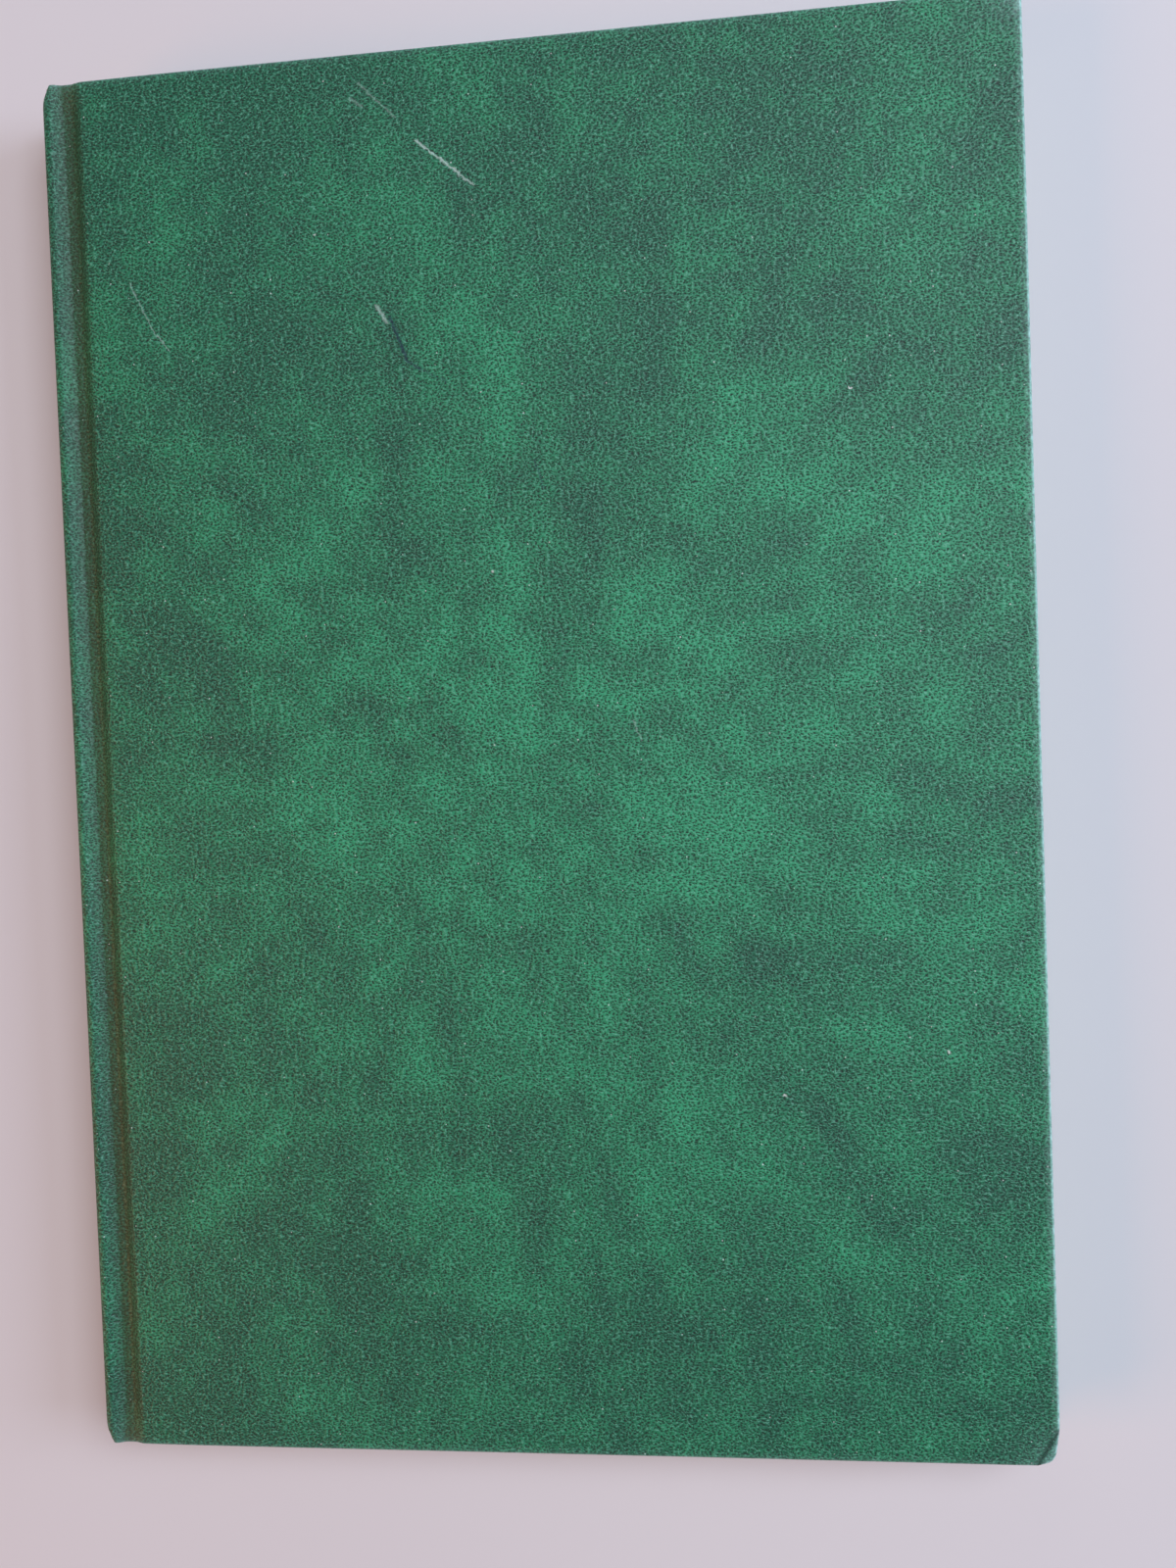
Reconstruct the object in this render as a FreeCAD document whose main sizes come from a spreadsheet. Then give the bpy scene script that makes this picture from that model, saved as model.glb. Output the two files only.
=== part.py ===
import FreeCAD, Part
import os
import re
import Sketcher

# A case-bound pilot's logbook: a sewn block of ruled leaves held by its endpapers and mull in a
# case of two greyboards and a spine strip, all covered in grained leatherette.
# Frame: the book lies shut on its back cover, front cover up. +X runs from the spine to the fore
# edge, +Y from the tail to the head, +Z up. The origin is the middle of the footprint.

doc = FreeCAD.newDocument("Logbook")

# The driving dimensions in millimetres, one named cell each.
DIMENSIONS = {
    "cover_height": 303.0,         # head to tail, over the case
    "cover_width": 209.0,          # outer face of the spine to the fore edge
    "corner_radius": 2.0,          # the two fore corners of each cover, seen from above
    "edge_softness": 0.3,          # rounding of the covered edges
    "board_thickness": 2.4,
    "cloth_thickness": 0.4,        # leatherette
    "paper_thickness": 0.2,        # pastedown
    "turn_in": 15.0,               # leatherette folded over onto the inner face of a board
    "pastedown_margin": 4.0,       # leatherette left showing round a pastedown
    "block_square": 3.0,           # how far the boards stand out past the leaves
    "signature_count": 8,
    "signature_thickness": 1.3,
    "turning_leaves": 3,           # the front flyleaf and the first two ruled leaves
    "leaf_thickness": 0.15,
    "leaf_gap": 0.05,              # air between neighbours that turn on their own
    "joint_width": 9.0,            # outer face of the spine to the edge of the greyboard
    "joint_gap": 0.1,              # slit between the joint's leatherette and the cover's
    "roll_radius": 2.4,            # outer rounding where the spine turns over to the joint
    "roll_land": 0.6,              # level strip between the roll and the groove
    "groove_fall": 2.6,            # how far across the spine side of the groove slopes down
    "groove_softness": 0.9,        # rounding of the two bends of the groove
    "strip_thickness": 1.3,        # spine inlay
    "strip_rounding": 1.2,
    "strip_clearance": 0.05,
    "hollow_gap": 0.5,             # between the spine inlay and the lining on the block
    "lining_thickness": 0.2,       # kraft paper
    "mull_thickness": 0.2,
    "mull_flange": 25.0,           # mull glued under each pastedown
    "thread_diameter": 0.4,
    "thread_slack": 0.1,           # between the mull and the stitches
    "stitch_overrun": 0.8,         # thread past each side of a tape
    "tape_thickness": 0.3,
    "tape_width": 12.0,
    "tape_spacing": 80.0,
    "tape_count": 3,
    "kettle_inset": 16.0,          # kettle stitches in from the head and the tail of the block
    "band_diameter": 1.8,          # bead of a headband
    "band_thickness": 0.2,         # its glued skirt
    "band_skirt": 10.0,
    "leaf_inset": 1.5,             # edge of the greyboard to where the top leaf turns
    "leaf_inset_step": 0.5,        # each leaf below turns that much further out
    "gutter_width": 9.0,           # how much of the top leaf stands up in the gutter
    "gutter_width_step": 0.6,
    "turn_clearance": 0.1,         # leaf to its turning line, on each side
    "stub_clearance": 0.2,         # sewn edge to the turning line
    "hinge_inset": 3.0,            # edge of the greyboard to the line that its cover turns about
    "hinge_lift": 0.3,             # that line above the outer face of the cover
}

# Places that follow from them. Each is a formula of dimensions and of other places.
PLACES = {
    "spine_face": "-cover_width / 2",
    "fore_face": "cover_width / 2",
    "head_face": "cover_height / 2",
    "tail_face": "-cover_height / 2",
    "board_edge": "spine_face + joint_width",
    "joint_end": "board_edge - cloth_thickness - joint_gap",
    "hinge_line": "board_edge - hinge_inset",
    "roll_end": "spine_face + roll_radius + roll_land",
    "groove_foot": "roll_end + groove_fall",
    "block_head": "head_face - block_square",
    "block_tail": "tail_face + block_square",
    "block_fore": "fore_face - block_square",
    "strip_inner": "spine_face + cloth_thickness + strip_thickness",
    "lining_outer": "strip_inner + hollow_gap",
    "mull_outer": "lining_outer + lining_thickness",
    "mull_inner": "mull_outer + mull_thickness",
    "thread_axis": "mull_inner + thread_slack + thread_diameter / 2",
    "tape_outer": "mull_inner + thread_slack + thread_diameter",
    "block_back": "tape_outer + tape_thickness",
    "leaf_pitch": "(leaf_thickness + leaf_gap)",
    "cover_stack": "2 * cloth_thickness + board_thickness + paper_thickness",
    "block_bottom": "cover_stack + leaf_gap + leaf_pitch",
    "block_top": "block_bottom + signature_count * signature_thickness",
    "leaves_top": "block_top + turning_leaves * leaf_pitch",
    "case_top": "leaves_top + leaf_gap + cover_stack",
    "joint_paper": "leaf_thickness",
    "mull_level": "leaves_top + joint_paper + mull_thickness",
    "groove_level": "mull_level + cloth_thickness",
    "strip_setback": "roll_radius - strip_rounding + strip_clearance",
    "groove_slope": "atan((case_top - groove_level) / groove_fall)",
    "bend_shift": "cloth_thickness * tan(groove_slope / 2)",
}

sheet = doc.addObject("Spreadsheet::Sheet", "Dims")
for row, (alias, number) in enumerate(DIMENSIONS.items(), start=1):
    sheet.set(f"A{row}", str(number))
    sheet.setAlias(f"A{row}", alias)
doc.recompute()

labels = []     # the finished sub-parts, in the order they are made


def formula(text):
    """Write a formula out for FreeCAD: a place becomes its own formula, a dimension its cell."""
    def write_out(match):
        name = match.group(0)
        return f"({formula(PLACES[name])})" if name in PLACES else f"Dims.{name}"
    return re.sub(r"[a-z]+(?:_[a-z]+)+", write_out, text)


def value(text):
    """The present value of a formula."""
    return float(sheet.evalExpression(formula(text)))


def bind(thing, name, text):
    """Drive a property of a document object by a formula."""
    thing.setExpression(name, formula(text))


def finished(piece, label):
    """Give a sub-part its name and count it among those that are written out."""
    piece.Label = label
    labels.append(label)
    return piece


def block(name, x, y, z):
    """A rectangular block. x, y and z are pairs of formulas: its two faces along each axis."""
    piece = doc.addObject("Part::Box", name)
    for side, axis, (low, high) in (("Length", "x", x), ("Width", "y", y), ("Height", "z", z)):
        bind(piece, side, f"({high}) - ({low})")
        bind(piece, f"Placement.Base.{axis}", low)
    return piece


def outline_body(name, plane, corners, length, level=None):
    """A body padded from a closed outline on an origin plane. Every corner is a pair of formulas
    that drive it. Without a level the pad is centred on the plane; otherwise it stands on it, and
    the body is lifted to that level."""
    body = doc.addObject("PartDesign::Body", name)
    sketch = body.newObject("Sketcher::SketchObject", f"{name}_outline")
    origin_plane = next(item for item in body.Origin.OriginFeatures if item.Role == plane)
    sketch.AttachmentSupport = [(origin_plane, "")]
    sketch.MapMode = "FlatFace"
    points = [FreeCAD.Vector(value(across), value(up), 0) for across, up in corners]
    for start, end in zip(points, points[1:] + points[:1]):
        sketch.addGeometry(Part.LineSegment(start, end), False)
    for side, corner in enumerate(corners):
        following = (side + 1) % len(corners)
        sketch.addConstraint(Sketcher.Constraint("Coincident", side, 2, following, 1))
        for kind, part in (("DistanceX", 0), ("DistanceY", 1)):
            distance = Sketcher.Constraint(kind, -1, 1, side, 1, points[side][part])
            index = sketch.addConstraint(distance)
            sketch.setExpression(f"Constraints[{index}]", formula(corner[part]))
    pad = body.newObject("PartDesign::Pad", f"{name}_pad")
    pad.Profile = sketch
    bind(pad, "Length", length)
    if level is None:
        pad.SideType = "Symmetric"
    else:
        bind(body, "Placement.Base.z", level)
    return body


def round_edges(body, name, radius, wanted):
    """Round those edges of a body whose middle point and direction satisfy `wanted`."""
    doc.recompute()
    base = body.Tip
    names = []
    for number, edge in enumerate(base.Shape.Edges, start=1):
        middle = edge.valueAt((edge.FirstParameter + edge.LastParameter) / 2)
        along = edge.tangentAt(edge.FirstParameter)
        if wanted(middle, along):
            names.append(f"Edge{number}")
    fillet = body.newObject("PartDesign::Fillet", name)
    fillet.Base = (base, names)
    bind(fillet, "Radius", radius)
    return fillet


def rectangle(x, y):
    """The four corners of a rectangle between pairs of formulas."""
    return [(x[0], y[0]), (x[1], y[0]), (x[1], y[1]), (x[0], y[1])]


def from_below(height):
    """The same height measured up from the bottom of the book."""
    return height


def from_above(height):
    """A height of the back half carried over to the front half: measured down from the top."""
    return f"case_top - ({height})"


HALVES = {"back": from_below, "front": from_above}
NEAR = 1e-4     # two coordinates closer than this are the same
BOOK_LENGTH = ("tail_face", "head_face")
BLOCK_LENGTH = ("block_tail", "block_head")


def levels(side, low, high):
    """A pair of heights above the outer face of a cover, as a rising pair of heights in Z."""
    pair = [HALVES[side](low), HALVES[side](high)]
    return pair if side == "back" else pair[::-1]


def cover(side):
    """One board of the case: greyboard, leatherette with its turn-ins, the mull's flange and the
    pastedown. Heights are counted from the outer face of the cover inwards."""
    blank_x = ("board_edge - cloth_thickness", "fore_face")
    blank_z = levels(side, "0", "2 * cloth_thickness + board_thickness")
    blank = outline_body(f"{side}_covering_blank", "XY_Plane", rectangle(blank_x, BOOK_LENGTH),
                         f"({blank_z[1]}) - ({blank_z[0]})", blank_z[0])
    fore = value("fore_face")
    round_edges(blank, f"{side}_covering_corners", "corner_radius",
                lambda middle, along: abs(middle.x - fore) < NEAR and abs(along.z) > 0.9)
    outer = 0.0 if side == "back" else value("2 * cloth_thickness + board_thickness")
    round_edges(blank, f"{side}_covering_edges", "edge_softness",
                lambda middle, along: abs(middle.z - outer) < NEAR and middle.x > value(blank_x[0]) + NEAR)

    board_x = ("board_edge", "fore_face - cloth_thickness")
    board_y = ("tail_face + cloth_thickness", "head_face - cloth_thickness")
    board_z = levels(side, "cloth_thickness", "cloth_thickness + board_thickness")
    board = outline_body(f"{side}_board", "XY_Plane", rectangle(board_x, board_y),
                         f"({board_z[1]}) - ({board_z[0]})", board_z[0])
    board_fore = value(board_x[1])
    round_edges(board, f"{side}_board_corners", "corner_radius - cloth_thickness",
                lambda middle, along: abs(middle.x - board_fore) < NEAR and abs(along.z) > 0.9)
    finished(board, f"{side}_board")

    window_x = ("board_edge", "fore_face - turn_in")
    window_y = ("tail_face + turn_in", "head_face - turn_in")
    turned_z = levels(side, "cloth_thickness + board_thickness", "2 * cloth_thickness + board_thickness")
    window = block(f"{side}_turn_in_window", window_x, window_y, turned_z)
    hollowed = doc.addObject("Part::Cut", f"{side}_covering_hollowed")
    hollowed.Base = blank
    hollowed.Tool = board
    covering = doc.addObject("Part::Cut", f"{side}_covering")
    covering.Base = hollowed
    covering.Tool = window
    finished(covering, f"{side}_covering")

    flange_x = ("board_edge", "board_edge + mull_flange")
    finished(block(f"{side}_mull_flange", flange_x, window_y, turned_z), f"{side}_mull_flange")

    sheet_z = levels(side, "2 * cloth_thickness + board_thickness", "cover_stack")
    sheet_x = ("board_edge", "fore_face - pastedown_margin")
    sheet_y = ("tail_face + pastedown_margin", "head_face - pastedown_margin")
    pastedown = doc.addObject("Part::Fuse", f"{side}_pastedown")
    pastedown.Base = block(f"{side}_pastedown_sheet", sheet_x, sheet_y, sheet_z)
    pastedown.Tool = block(f"{side}_pastedown_sunk", (flange_x[1], window_x[1]), window_y, turned_z)
    finished(pastedown, f"{side}_pastedown")


def endpaper_joint(side):
    """The strip of endpaper that bridges the joint between the block's shoulder and the cover."""
    shoulder = "cover_stack + leaf_gap"
    z = levels(side, f"{shoulder} - joint_paper", shoulder)
    finished(block(f"{side}_endpaper_joint", ("block_back", "joint_end"), BLOCK_LENGTH, z),
             f"{side}_endpaper_joint")


def turning_line(order):
    """Where leaf number `order`, counted from the top, turns in the gutter."""
    return f"board_edge + leaf_inset + {order} * leaf_inset_step"


def leaf_fold(order):
    """Where the part of that leaf that stands up in the gutter meets the part that lies open."""
    return f"{turning_line(order)} + gutter_width + {order} * gutter_width_step"


def turning_leaf(name, order, z):
    """One leaf that turns, in two pieces: the narrow gutter strip and the open leaf."""
    line = turning_line(order)
    fold = leaf_fold(order)
    strip_x = (f"{line} + turn_clearance", f"{fold} - turn_clearance")
    leaf_x = (f"{fold} + turn_clearance", "block_fore")
    finished(block(f"{name}_gutter", strip_x, BLOCK_LENGTH, z), f"{name}_gutter")
    finished(block(name, leaf_x, BLOCK_LENGTH, z), name)


def front_leaves():
    """The front flyleaf, the first ruled leaves under it, and the sewn edges that they turn from."""
    count = int(value("turning_leaves"))
    steps = [("block_back", "block_top")]
    for order in reversed(range(count)):
        low = "block_top" if order == count - 1 else f"leaves_top - {order + 1} * leaf_pitch"
        end = f"{turning_line(order)} - stub_clearance"
        steps += [(end, low), (end, f"leaves_top - {order} * leaf_pitch")]
        z = (f"leaves_top - {order} * leaf_pitch - leaf_thickness", f"leaves_top - {order} * leaf_pitch")
        turning_leaf("front_flyleaf" if order == 0 else f"log_leaf_{order}", order, z)
    steps.append(("block_back", "leaves_top"))
    stub = outline_body("front_leaves_sewn_edge", "XZ_Plane", steps, "block_head - block_tail")
    finished(stub, "front_leaves_sewn_edge")


def back_leaf():
    """The back flyleaf and its sewn edge."""
    z = ("cover_stack + leaf_gap", "cover_stack + leaf_gap + leaf_thickness")
    turning_leaf("back_flyleaf", 0, z)
    stub_x = ("block_back", f"{turning_line(0)} - stub_clearance")
    finished(block("back_flyleaf_sewn_edge", stub_x, BLOCK_LENGTH, (z[0], "block_bottom")),
             "back_flyleaf_sewn_edge")


def signatures():
    """The folded sections of ruled paper, each rounded along its fold at the spine."""
    back = value("block_back")
    for number in range(1, int(value("signature_count")) + 1):
        low = f"block_bottom + {number - 1} * signature_thickness"
        name = f"signature_{number}"
        corners = rectangle(("block_back", "block_fore"), (low, f"{low} + signature_thickness"))
        body = outline_body(name, "XZ_Plane", corners, "block_head - block_tail")
        round_edges(body, f"{name}_fold", "signature_thickness * 0.45",
                    lambda middle, along: abs(middle.x - back) < NEAR and abs(along.y) > 0.9)
        finished(body, name)


def both_halves(front_corners):
    """Close an outline that is given from the front joint to the middle of the spine by its
    mirror image on the back half. A corner is a place across and a depth below the top."""
    front = [(across, from_above(depth)) for across, depth in front_corners]
    back = [(across, depth) for across, depth in reversed(front_corners)]
    return front + back


def spine():
    """The spine of the case: its leatherette, which rolls over at both sides and falls into the
    joints, and the card inlay that keeps it flat."""
    drop = "case_top - groove_level"
    outer = [("joint_end", drop), ("groove_foot", drop), ("roll_end", "0"), ("spine_face", "0")]
    inner = [("joint_end", f"{drop} + cloth_thickness"),
             ("groove_foot - bend_shift", f"{drop} + cloth_thickness"),
             ("roll_end - bend_shift", "cloth_thickness"),
             ("spine_face + cloth_thickness", "cloth_thickness")]
    corners = both_halves(outer) + both_halves(inner)[::-1]
    body = outline_body("spine_covering", "XZ_Plane", corners, "cover_height")
    half = value("case_top / 2")

    def is_corner(across, depth):
        """A test for the two long edges, front and back, at that place across and depth."""
        place = value(across)
        height = half - value(depth)
        return lambda middle, along: (abs(along.y) > 0.9 and abs(middle.x - place) < NEAR
                                      and abs(abs(middle.z - half) - height) < NEAR)

    round_edges(body, "spine_outer_roll", "roll_radius", is_corner(*outer[3]))
    round_edges(body, "spine_inner_roll", "roll_radius - cloth_thickness", is_corner(*inner[3]))
    for number, (across, depth) in enumerate((outer[1], outer[2], inner[1], inner[2]), start=1):
        round_edges(body, f"groove_bend_{number}", "groove_softness", is_corner(across, depth))
    finished(body, "spine_covering")

    strip_x = ("spine_face + cloth_thickness", "strip_inner")
    strip_z = ("strip_setback", "case_top - strip_setback")
    strip = outline_body("spine_inlay_strip", "XZ_Plane", rectangle(strip_x, strip_z),
                         "cover_height - 2 * cloth_thickness")
    strip_outer = value(strip_x[0])
    round_edges(strip, "spine_inlay_edges", "strip_rounding",
                lambda middle, along: abs(along.y) > 0.9 and abs(middle.x - strip_outer) < NEAR)
    finished(strip, "spine_inlay_strip")


def mull_and_lining():
    """The open cotton glued over the block's back and shoulders, and the kraft paper on it."""
    level = "case_top - mull_level"
    outer = [("joint_end", level), ("mull_outer", level)]
    inner = [("joint_end", f"{level} + mull_thickness"), ("mull_inner", f"{level} + mull_thickness")]
    corners = both_halves(outer) + both_halves(inner)[::-1]
    finished(outline_body("mull", "XZ_Plane", corners, "block_head - block_tail"), "mull")
    finished(block("kraft_spine_lining", ("lining_outer", "mull_outer"), BLOCK_LENGTH,
                   ("block_bottom", "block_top")), "kraft_spine_lining")


def tapes_and_thread():
    """The linen tapes that the signatures are sewn round, and the thread: one stitch over each tape
    for each signature, and a kettle stitch near the head and the tail."""
    stitches = []
    tapes = int(value("tape_count"))
    for number in range(1, tapes + 1):
        middle = f"({number} - (tape_count + 1) / 2) * tape_spacing"
        y = (f"{middle} - tape_width / 2", f"{middle} + tape_width / 2")
        finished(block(f"tape_{number}", ("tape_outer", "block_back"), y, ("block_bottom", "block_top")),
                 f"tape_{number}")
        for section in range(int(value("signature_count"))):
            stitch = doc.addObject("Part::Cylinder", f"stitch_{number}_{section + 1}")
            bind(stitch, "Radius", "thread_diameter / 2")
            bind(stitch, "Height", "tape_width + 2 * stitch_overrun")
            stitch.Placement.Rotation = FreeCAD.Rotation(FreeCAD.Vector(1, 0, 0), -90)
            bind(stitch, "Placement.Base.x", "thread_axis")
            bind(stitch, "Placement.Base.y", f"{y[0]} - stitch_overrun")
            bind(stitch, "Placement.Base.z", f"block_bottom + {section + 0.5} * signature_thickness")
            stitches.append(stitch)
    for end, place in (("tail", "block_tail + kettle_inset"), ("head", "block_head - kettle_inset")):
        kettle = doc.addObject("Part::Cylinder", f"kettle_stitch_{end}")
        bind(kettle, "Radius", "thread_diameter / 2")
        bind(kettle, "Height", "(signature_count - 1) * signature_thickness")
        bind(kettle, "Placement.Base.x", "block_back - thread_diameter / 2")
        bind(kettle, "Placement.Base.y", place)
        bind(kettle, "Placement.Base.z", "block_bottom + signature_thickness / 2")
        stitches.append(kettle)
    thread = doc.addObject("Part::Compound", "sewing_thread")
    thread.Links = stitches
    finished(thread, "sewing_thread")


def headband(end, edge, outward):
    """A woven band at one end of the block: a bead that stands on the edges of the leaves, and the
    skirt that glues it to the back. `outward` is + at the head and - at the tail."""
    skirt_y = (f"{edge} - {outward}band_skirt", f"{edge} + {outward}band_diameter / 2")
    skirt_y = skirt_y if end == "head" else skirt_y[::-1]
    z = ("block_bottom", "block_top")
    band = doc.addObject("Part::Fuse", f"{end}band")
    band.Base = block(f"{end}band_skirt", ("block_back - band_thickness", "block_back"), skirt_y, z)
    bead = doc.addObject("Part::Cylinder", f"{end}band_bead")
    bind(bead, "Radius", "band_diameter / 2")
    bind(bead, "Height", "block_top - block_bottom")
    bind(bead, "Placement.Base.x", "block_back - band_thickness + band_diameter / 2")
    bind(bead, "Placement.Base.y", f"{edge} + {outward}band_diameter / 2")
    bind(bead, "Placement.Base.z", z[0])
    band.Tool = bead
    finished(band, f"{end}band")


for half in HALVES:
    cover(half)
    endpaper_joint(half)
front_leaves()
back_leaf()
signatures()
spine()
mull_and_lining()
tapes_and_thread()
headband("head", "block_head", "+")
headband("tail", "block_tail", "-")

doc.recompute()
for thing in doc.Objects:
    if "Invalid" in thing.State or "Error" in thing.State:
        raise RuntimeError(f"{thing.Label} did not compute: {thing.State}")
pieces = {label: doc.getObjectsByLabel(label)[0] for label in labels}
for label, piece in pieces.items():
    if piece.Shape.isNull() or not piece.Shape.isValid() or not piece.Shape.Solids:
        raise RuntimeError(f"{label} has no sound solid")

os.makedirs("parts", exist_ok=True)
for label, piece in pieces.items():
    piece.Shape.exportStep(f"parts/{label}.step")
print(f"{len(labels)} sub-parts, case {value('case_top'):.2f} thick")

# The lines that the moving pieces turn about, all parallel to Y.
print(f"front cover: x {value('hinge_line'):.3f}, z {value('case_top + hinge_lift'):.3f}")
print(f"back cover: x {value('hinge_line'):.3f}, z {value('-hinge_lift'):.3f}")
for order in range(int(value("turning_leaves"))):
    height = value(f"leaves_top - {order} * leaf_pitch - leaf_thickness / 2")
    print(f"front leaf {order}: gutter x {value(turning_line(order)):.3f}, "
          f"fold x {value(leaf_fold(order)):.3f}, z {height:.3f}")
print(f"back flyleaf: gutter x {value(turning_line(0)):.3f}, fold x {value(leaf_fold(0)):.3f}, "
      f"z {value('cover_stack + leaf_gap + leaf_thickness / 2'):.3f}")
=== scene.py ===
# %% [markdown]
# # A pilot's logbook in green leatherette
# A logbook like this is a case-bound book: folded sheets are sewn into a block, and a case of two
# boards and a spine strip, covered with one sheet of leatherette, is hung on it by the endpapers.
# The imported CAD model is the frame. It gives every place and every joint, and this lesson dresses
# it: sheets that bend at the joints are made new, and hidden stiff pieces keep their CAD shape.

# %% Load the frame
import bmesh
import bpy
import math
import numpy as np
from mathutils import Matrix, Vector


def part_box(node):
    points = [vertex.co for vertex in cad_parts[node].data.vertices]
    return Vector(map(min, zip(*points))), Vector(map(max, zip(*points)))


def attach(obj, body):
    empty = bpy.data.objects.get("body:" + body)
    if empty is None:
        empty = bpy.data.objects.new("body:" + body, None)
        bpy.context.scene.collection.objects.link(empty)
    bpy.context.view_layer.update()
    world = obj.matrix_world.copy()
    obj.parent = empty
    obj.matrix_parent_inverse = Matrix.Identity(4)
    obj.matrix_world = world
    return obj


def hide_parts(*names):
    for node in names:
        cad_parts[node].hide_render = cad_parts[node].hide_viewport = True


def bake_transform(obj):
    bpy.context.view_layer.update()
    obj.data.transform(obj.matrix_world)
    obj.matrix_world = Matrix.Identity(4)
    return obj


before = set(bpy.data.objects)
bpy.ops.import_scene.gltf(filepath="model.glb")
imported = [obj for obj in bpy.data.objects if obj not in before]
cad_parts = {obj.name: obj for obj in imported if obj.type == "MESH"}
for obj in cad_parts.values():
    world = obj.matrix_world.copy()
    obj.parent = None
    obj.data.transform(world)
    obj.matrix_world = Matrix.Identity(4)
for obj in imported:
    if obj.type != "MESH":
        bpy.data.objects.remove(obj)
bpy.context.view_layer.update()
MM = 0.001      # metres in a millimetre

# %% Read the sizes from the frame, in millimetres
def faces(node):
    """The lowest and the highest corner of a CAD node at rest, in millimetres."""
    low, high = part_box(node)
    return np.array(low) / MM, np.array(high) / MM


spine_low, spine_high = faces("spine_covering")
board_low, board_high = faces("front_board")
block_low, block_high = faces("signature_8")
SPINE_FACE = spine_low[0]
CASE_TOP = spine_high[2]
HALF_HEIGHT = spine_high[1]
CLOTH = CASE_TOP - board_high[2]
FORE_FACE = board_high[0] + CLOTH
BOARD_EDGE = board_low[0]
BLOCK_BACK = block_low[0]
BLOCK_FORE = block_high[0]
BLOCK_HEAD = block_high[1]
SLAB = CASE_TOP - faces("front_covering")[0][2]         # leatherette, board, leatherette
print(f"case {FORE_FACE - SPINE_FACE:.1f} x {2 * HALF_HEIGHT:.1f} x {CASE_TOP:.1f}, cloth {CLOTH:.2f}")

# %% [markdown]
# ## Camera, floor and light
# The book is seen from close above, as from a hand held over a table, so the camera has a short
# lens and stands a little off the middle of the cover. A plain pale floor carries it. Soft light
# comes from a large lamp overhead, towards the head, and from a window beyond the fore edge. A
# weak warm bounce comes back from the spine side, and warms the floor and the groove there.

# %% Camera
LENS_OVER_LONG_SIDE = 1300 / 1600
SENSOR = 36.0
EYE = np.array([40.56, 1.81, 287.6]) * MM
LOOK = np.array([-0.10989, -0.02870, -0.99353])
UP = np.array([0.03384, 0.99890, -0.03259])

camera_data = bpy.data.cameras.new("camera")
camera_data.sensor_width = SENSOR
camera_data.lens = SENSOR * LENS_OVER_LONG_SIDE
camera_data.clip_start = 0.01
camera = bpy.data.objects.new("camera", camera_data)
back = -LOOK / np.linalg.norm(LOOK)
right = np.cross(UP, back)
right = right / np.linalg.norm(right)
upright = np.cross(back, right)
turn = np.eye(4)
turn[:3, :3] = np.array([right, upright, back]).T
turn[:3, 3] = EYE
camera.matrix_world = Matrix(turn.tolist())
bpy.context.collection.objects.link(camera)
bpy.context.scene.camera = camera
print("camera height above the cover, mm:", round(EYE[2] / MM - CASE_TOP, 1))

# %% Colours and nodes
def paint(code):
    """An sRGB hex colour as linear red, green, blue and a full alpha. Each channel c is c / 12.92
    below 0.04045, and ((c + 0.055) / 1.055) to the power 2.4 above it."""
    channels = [int(code[at:at + 2], 16) / 255 for at in (1, 3, 5)]
    linear = [c / 12.92 if c < 0.04045 else ((c + 0.055) / 1.055) ** 2.4 for c in channels]
    return (*linear, 1.0)


def add(tree, kind, inputs=None, stops=(), **settings):
    """Add one node: its settings by name, and each input as a value, as the socket that feeds it,
    or as the node whose first output feeds it. stops are a colour ramp's (place from 0 to 1, hex
    colour). Returns the node."""
    node = tree.nodes.new("ShaderNode" + kind)
    for name, setting in settings.items():
        setattr(node, name, setting)
    for key, source in (inputs or {}).items():
        if isinstance(source, bpy.types.Node):
            source = source.outputs[0]
        if isinstance(source, bpy.types.NodeSocket):
            tree.links.new(source, node.inputs[key])
        else:
            node.inputs[key].default_value = source
    for at, (place, code) in enumerate(stops):
        elements = node.color_ramp.elements
        element = elements[at] if at < len(elements) else elements.new(1.0)
        element.position = place
        element.color = paint(code)
    return node


def new_material(name, **surface):
    """An empty material with its output and one Principled shader. The keywords set the shader's
    own sockets. Returns the material, its tree and the shader."""
    material = bpy.data.materials.new(name)
    material.use_nodes = True
    tree = material.node_tree
    tree.nodes.clear()
    shader = add(tree, "BsdfPrincipled", {key.replace("_", " "): v for key, v in surface.items()})
    add(tree, "OutputMaterial", {"Surface": shader.outputs[0]})
    return material, tree, shader


# %% Floor
floor_material, tree, shader = new_material("matt_painted_table", Roughness=0.75)
spot = add(tree, "TexCoord").outputs["Object"]
cloud = add(tree, "TexNoise", {"Vector": spot, "Scale": 2.5, "Detail": 2.0})
matt_paint = add(tree, "ValToRGB", {0: cloud}, stops=[(0.3, "#d6d4d4"), (0.7, "#dbd9d8")])
tree.links.new(matt_paint.outputs[0], shader.inputs["Base Color"])

FLOOR_SIDE = 6.0
floor_mesh = bpy.data.meshes.new("floor")
half = FLOOR_SIDE / 2
floor_mesh.from_pydata(
    [(-half, -half, 0), (half, -half, 0), (half, half, 0), (-half, half, 0)], [], [(0, 1, 2, 3)]
)
floor_mesh.materials.append(floor_material)
floor = bpy.data.objects.new("floor", floor_mesh)
bpy.context.collection.objects.link(floor)

# %% Lights
LIGHTS = {      # name: (place in metres, side in metres, watts, colour)
    "ceiling": ((0.62, 0.50, 1.30), 0.85, 14.3, "#ebf0ff"),
    "window": ((1.85, 0.30, 1.05), 0.95, 24.0, "#d6e4ff"),
    "wall_bounce": ((-1.35, -0.45, 0.85), 0.85, 10.0, "#ff9c5c"),
}
AIM = np.array([0.0, 0.0, CASE_TOP * MM])


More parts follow.
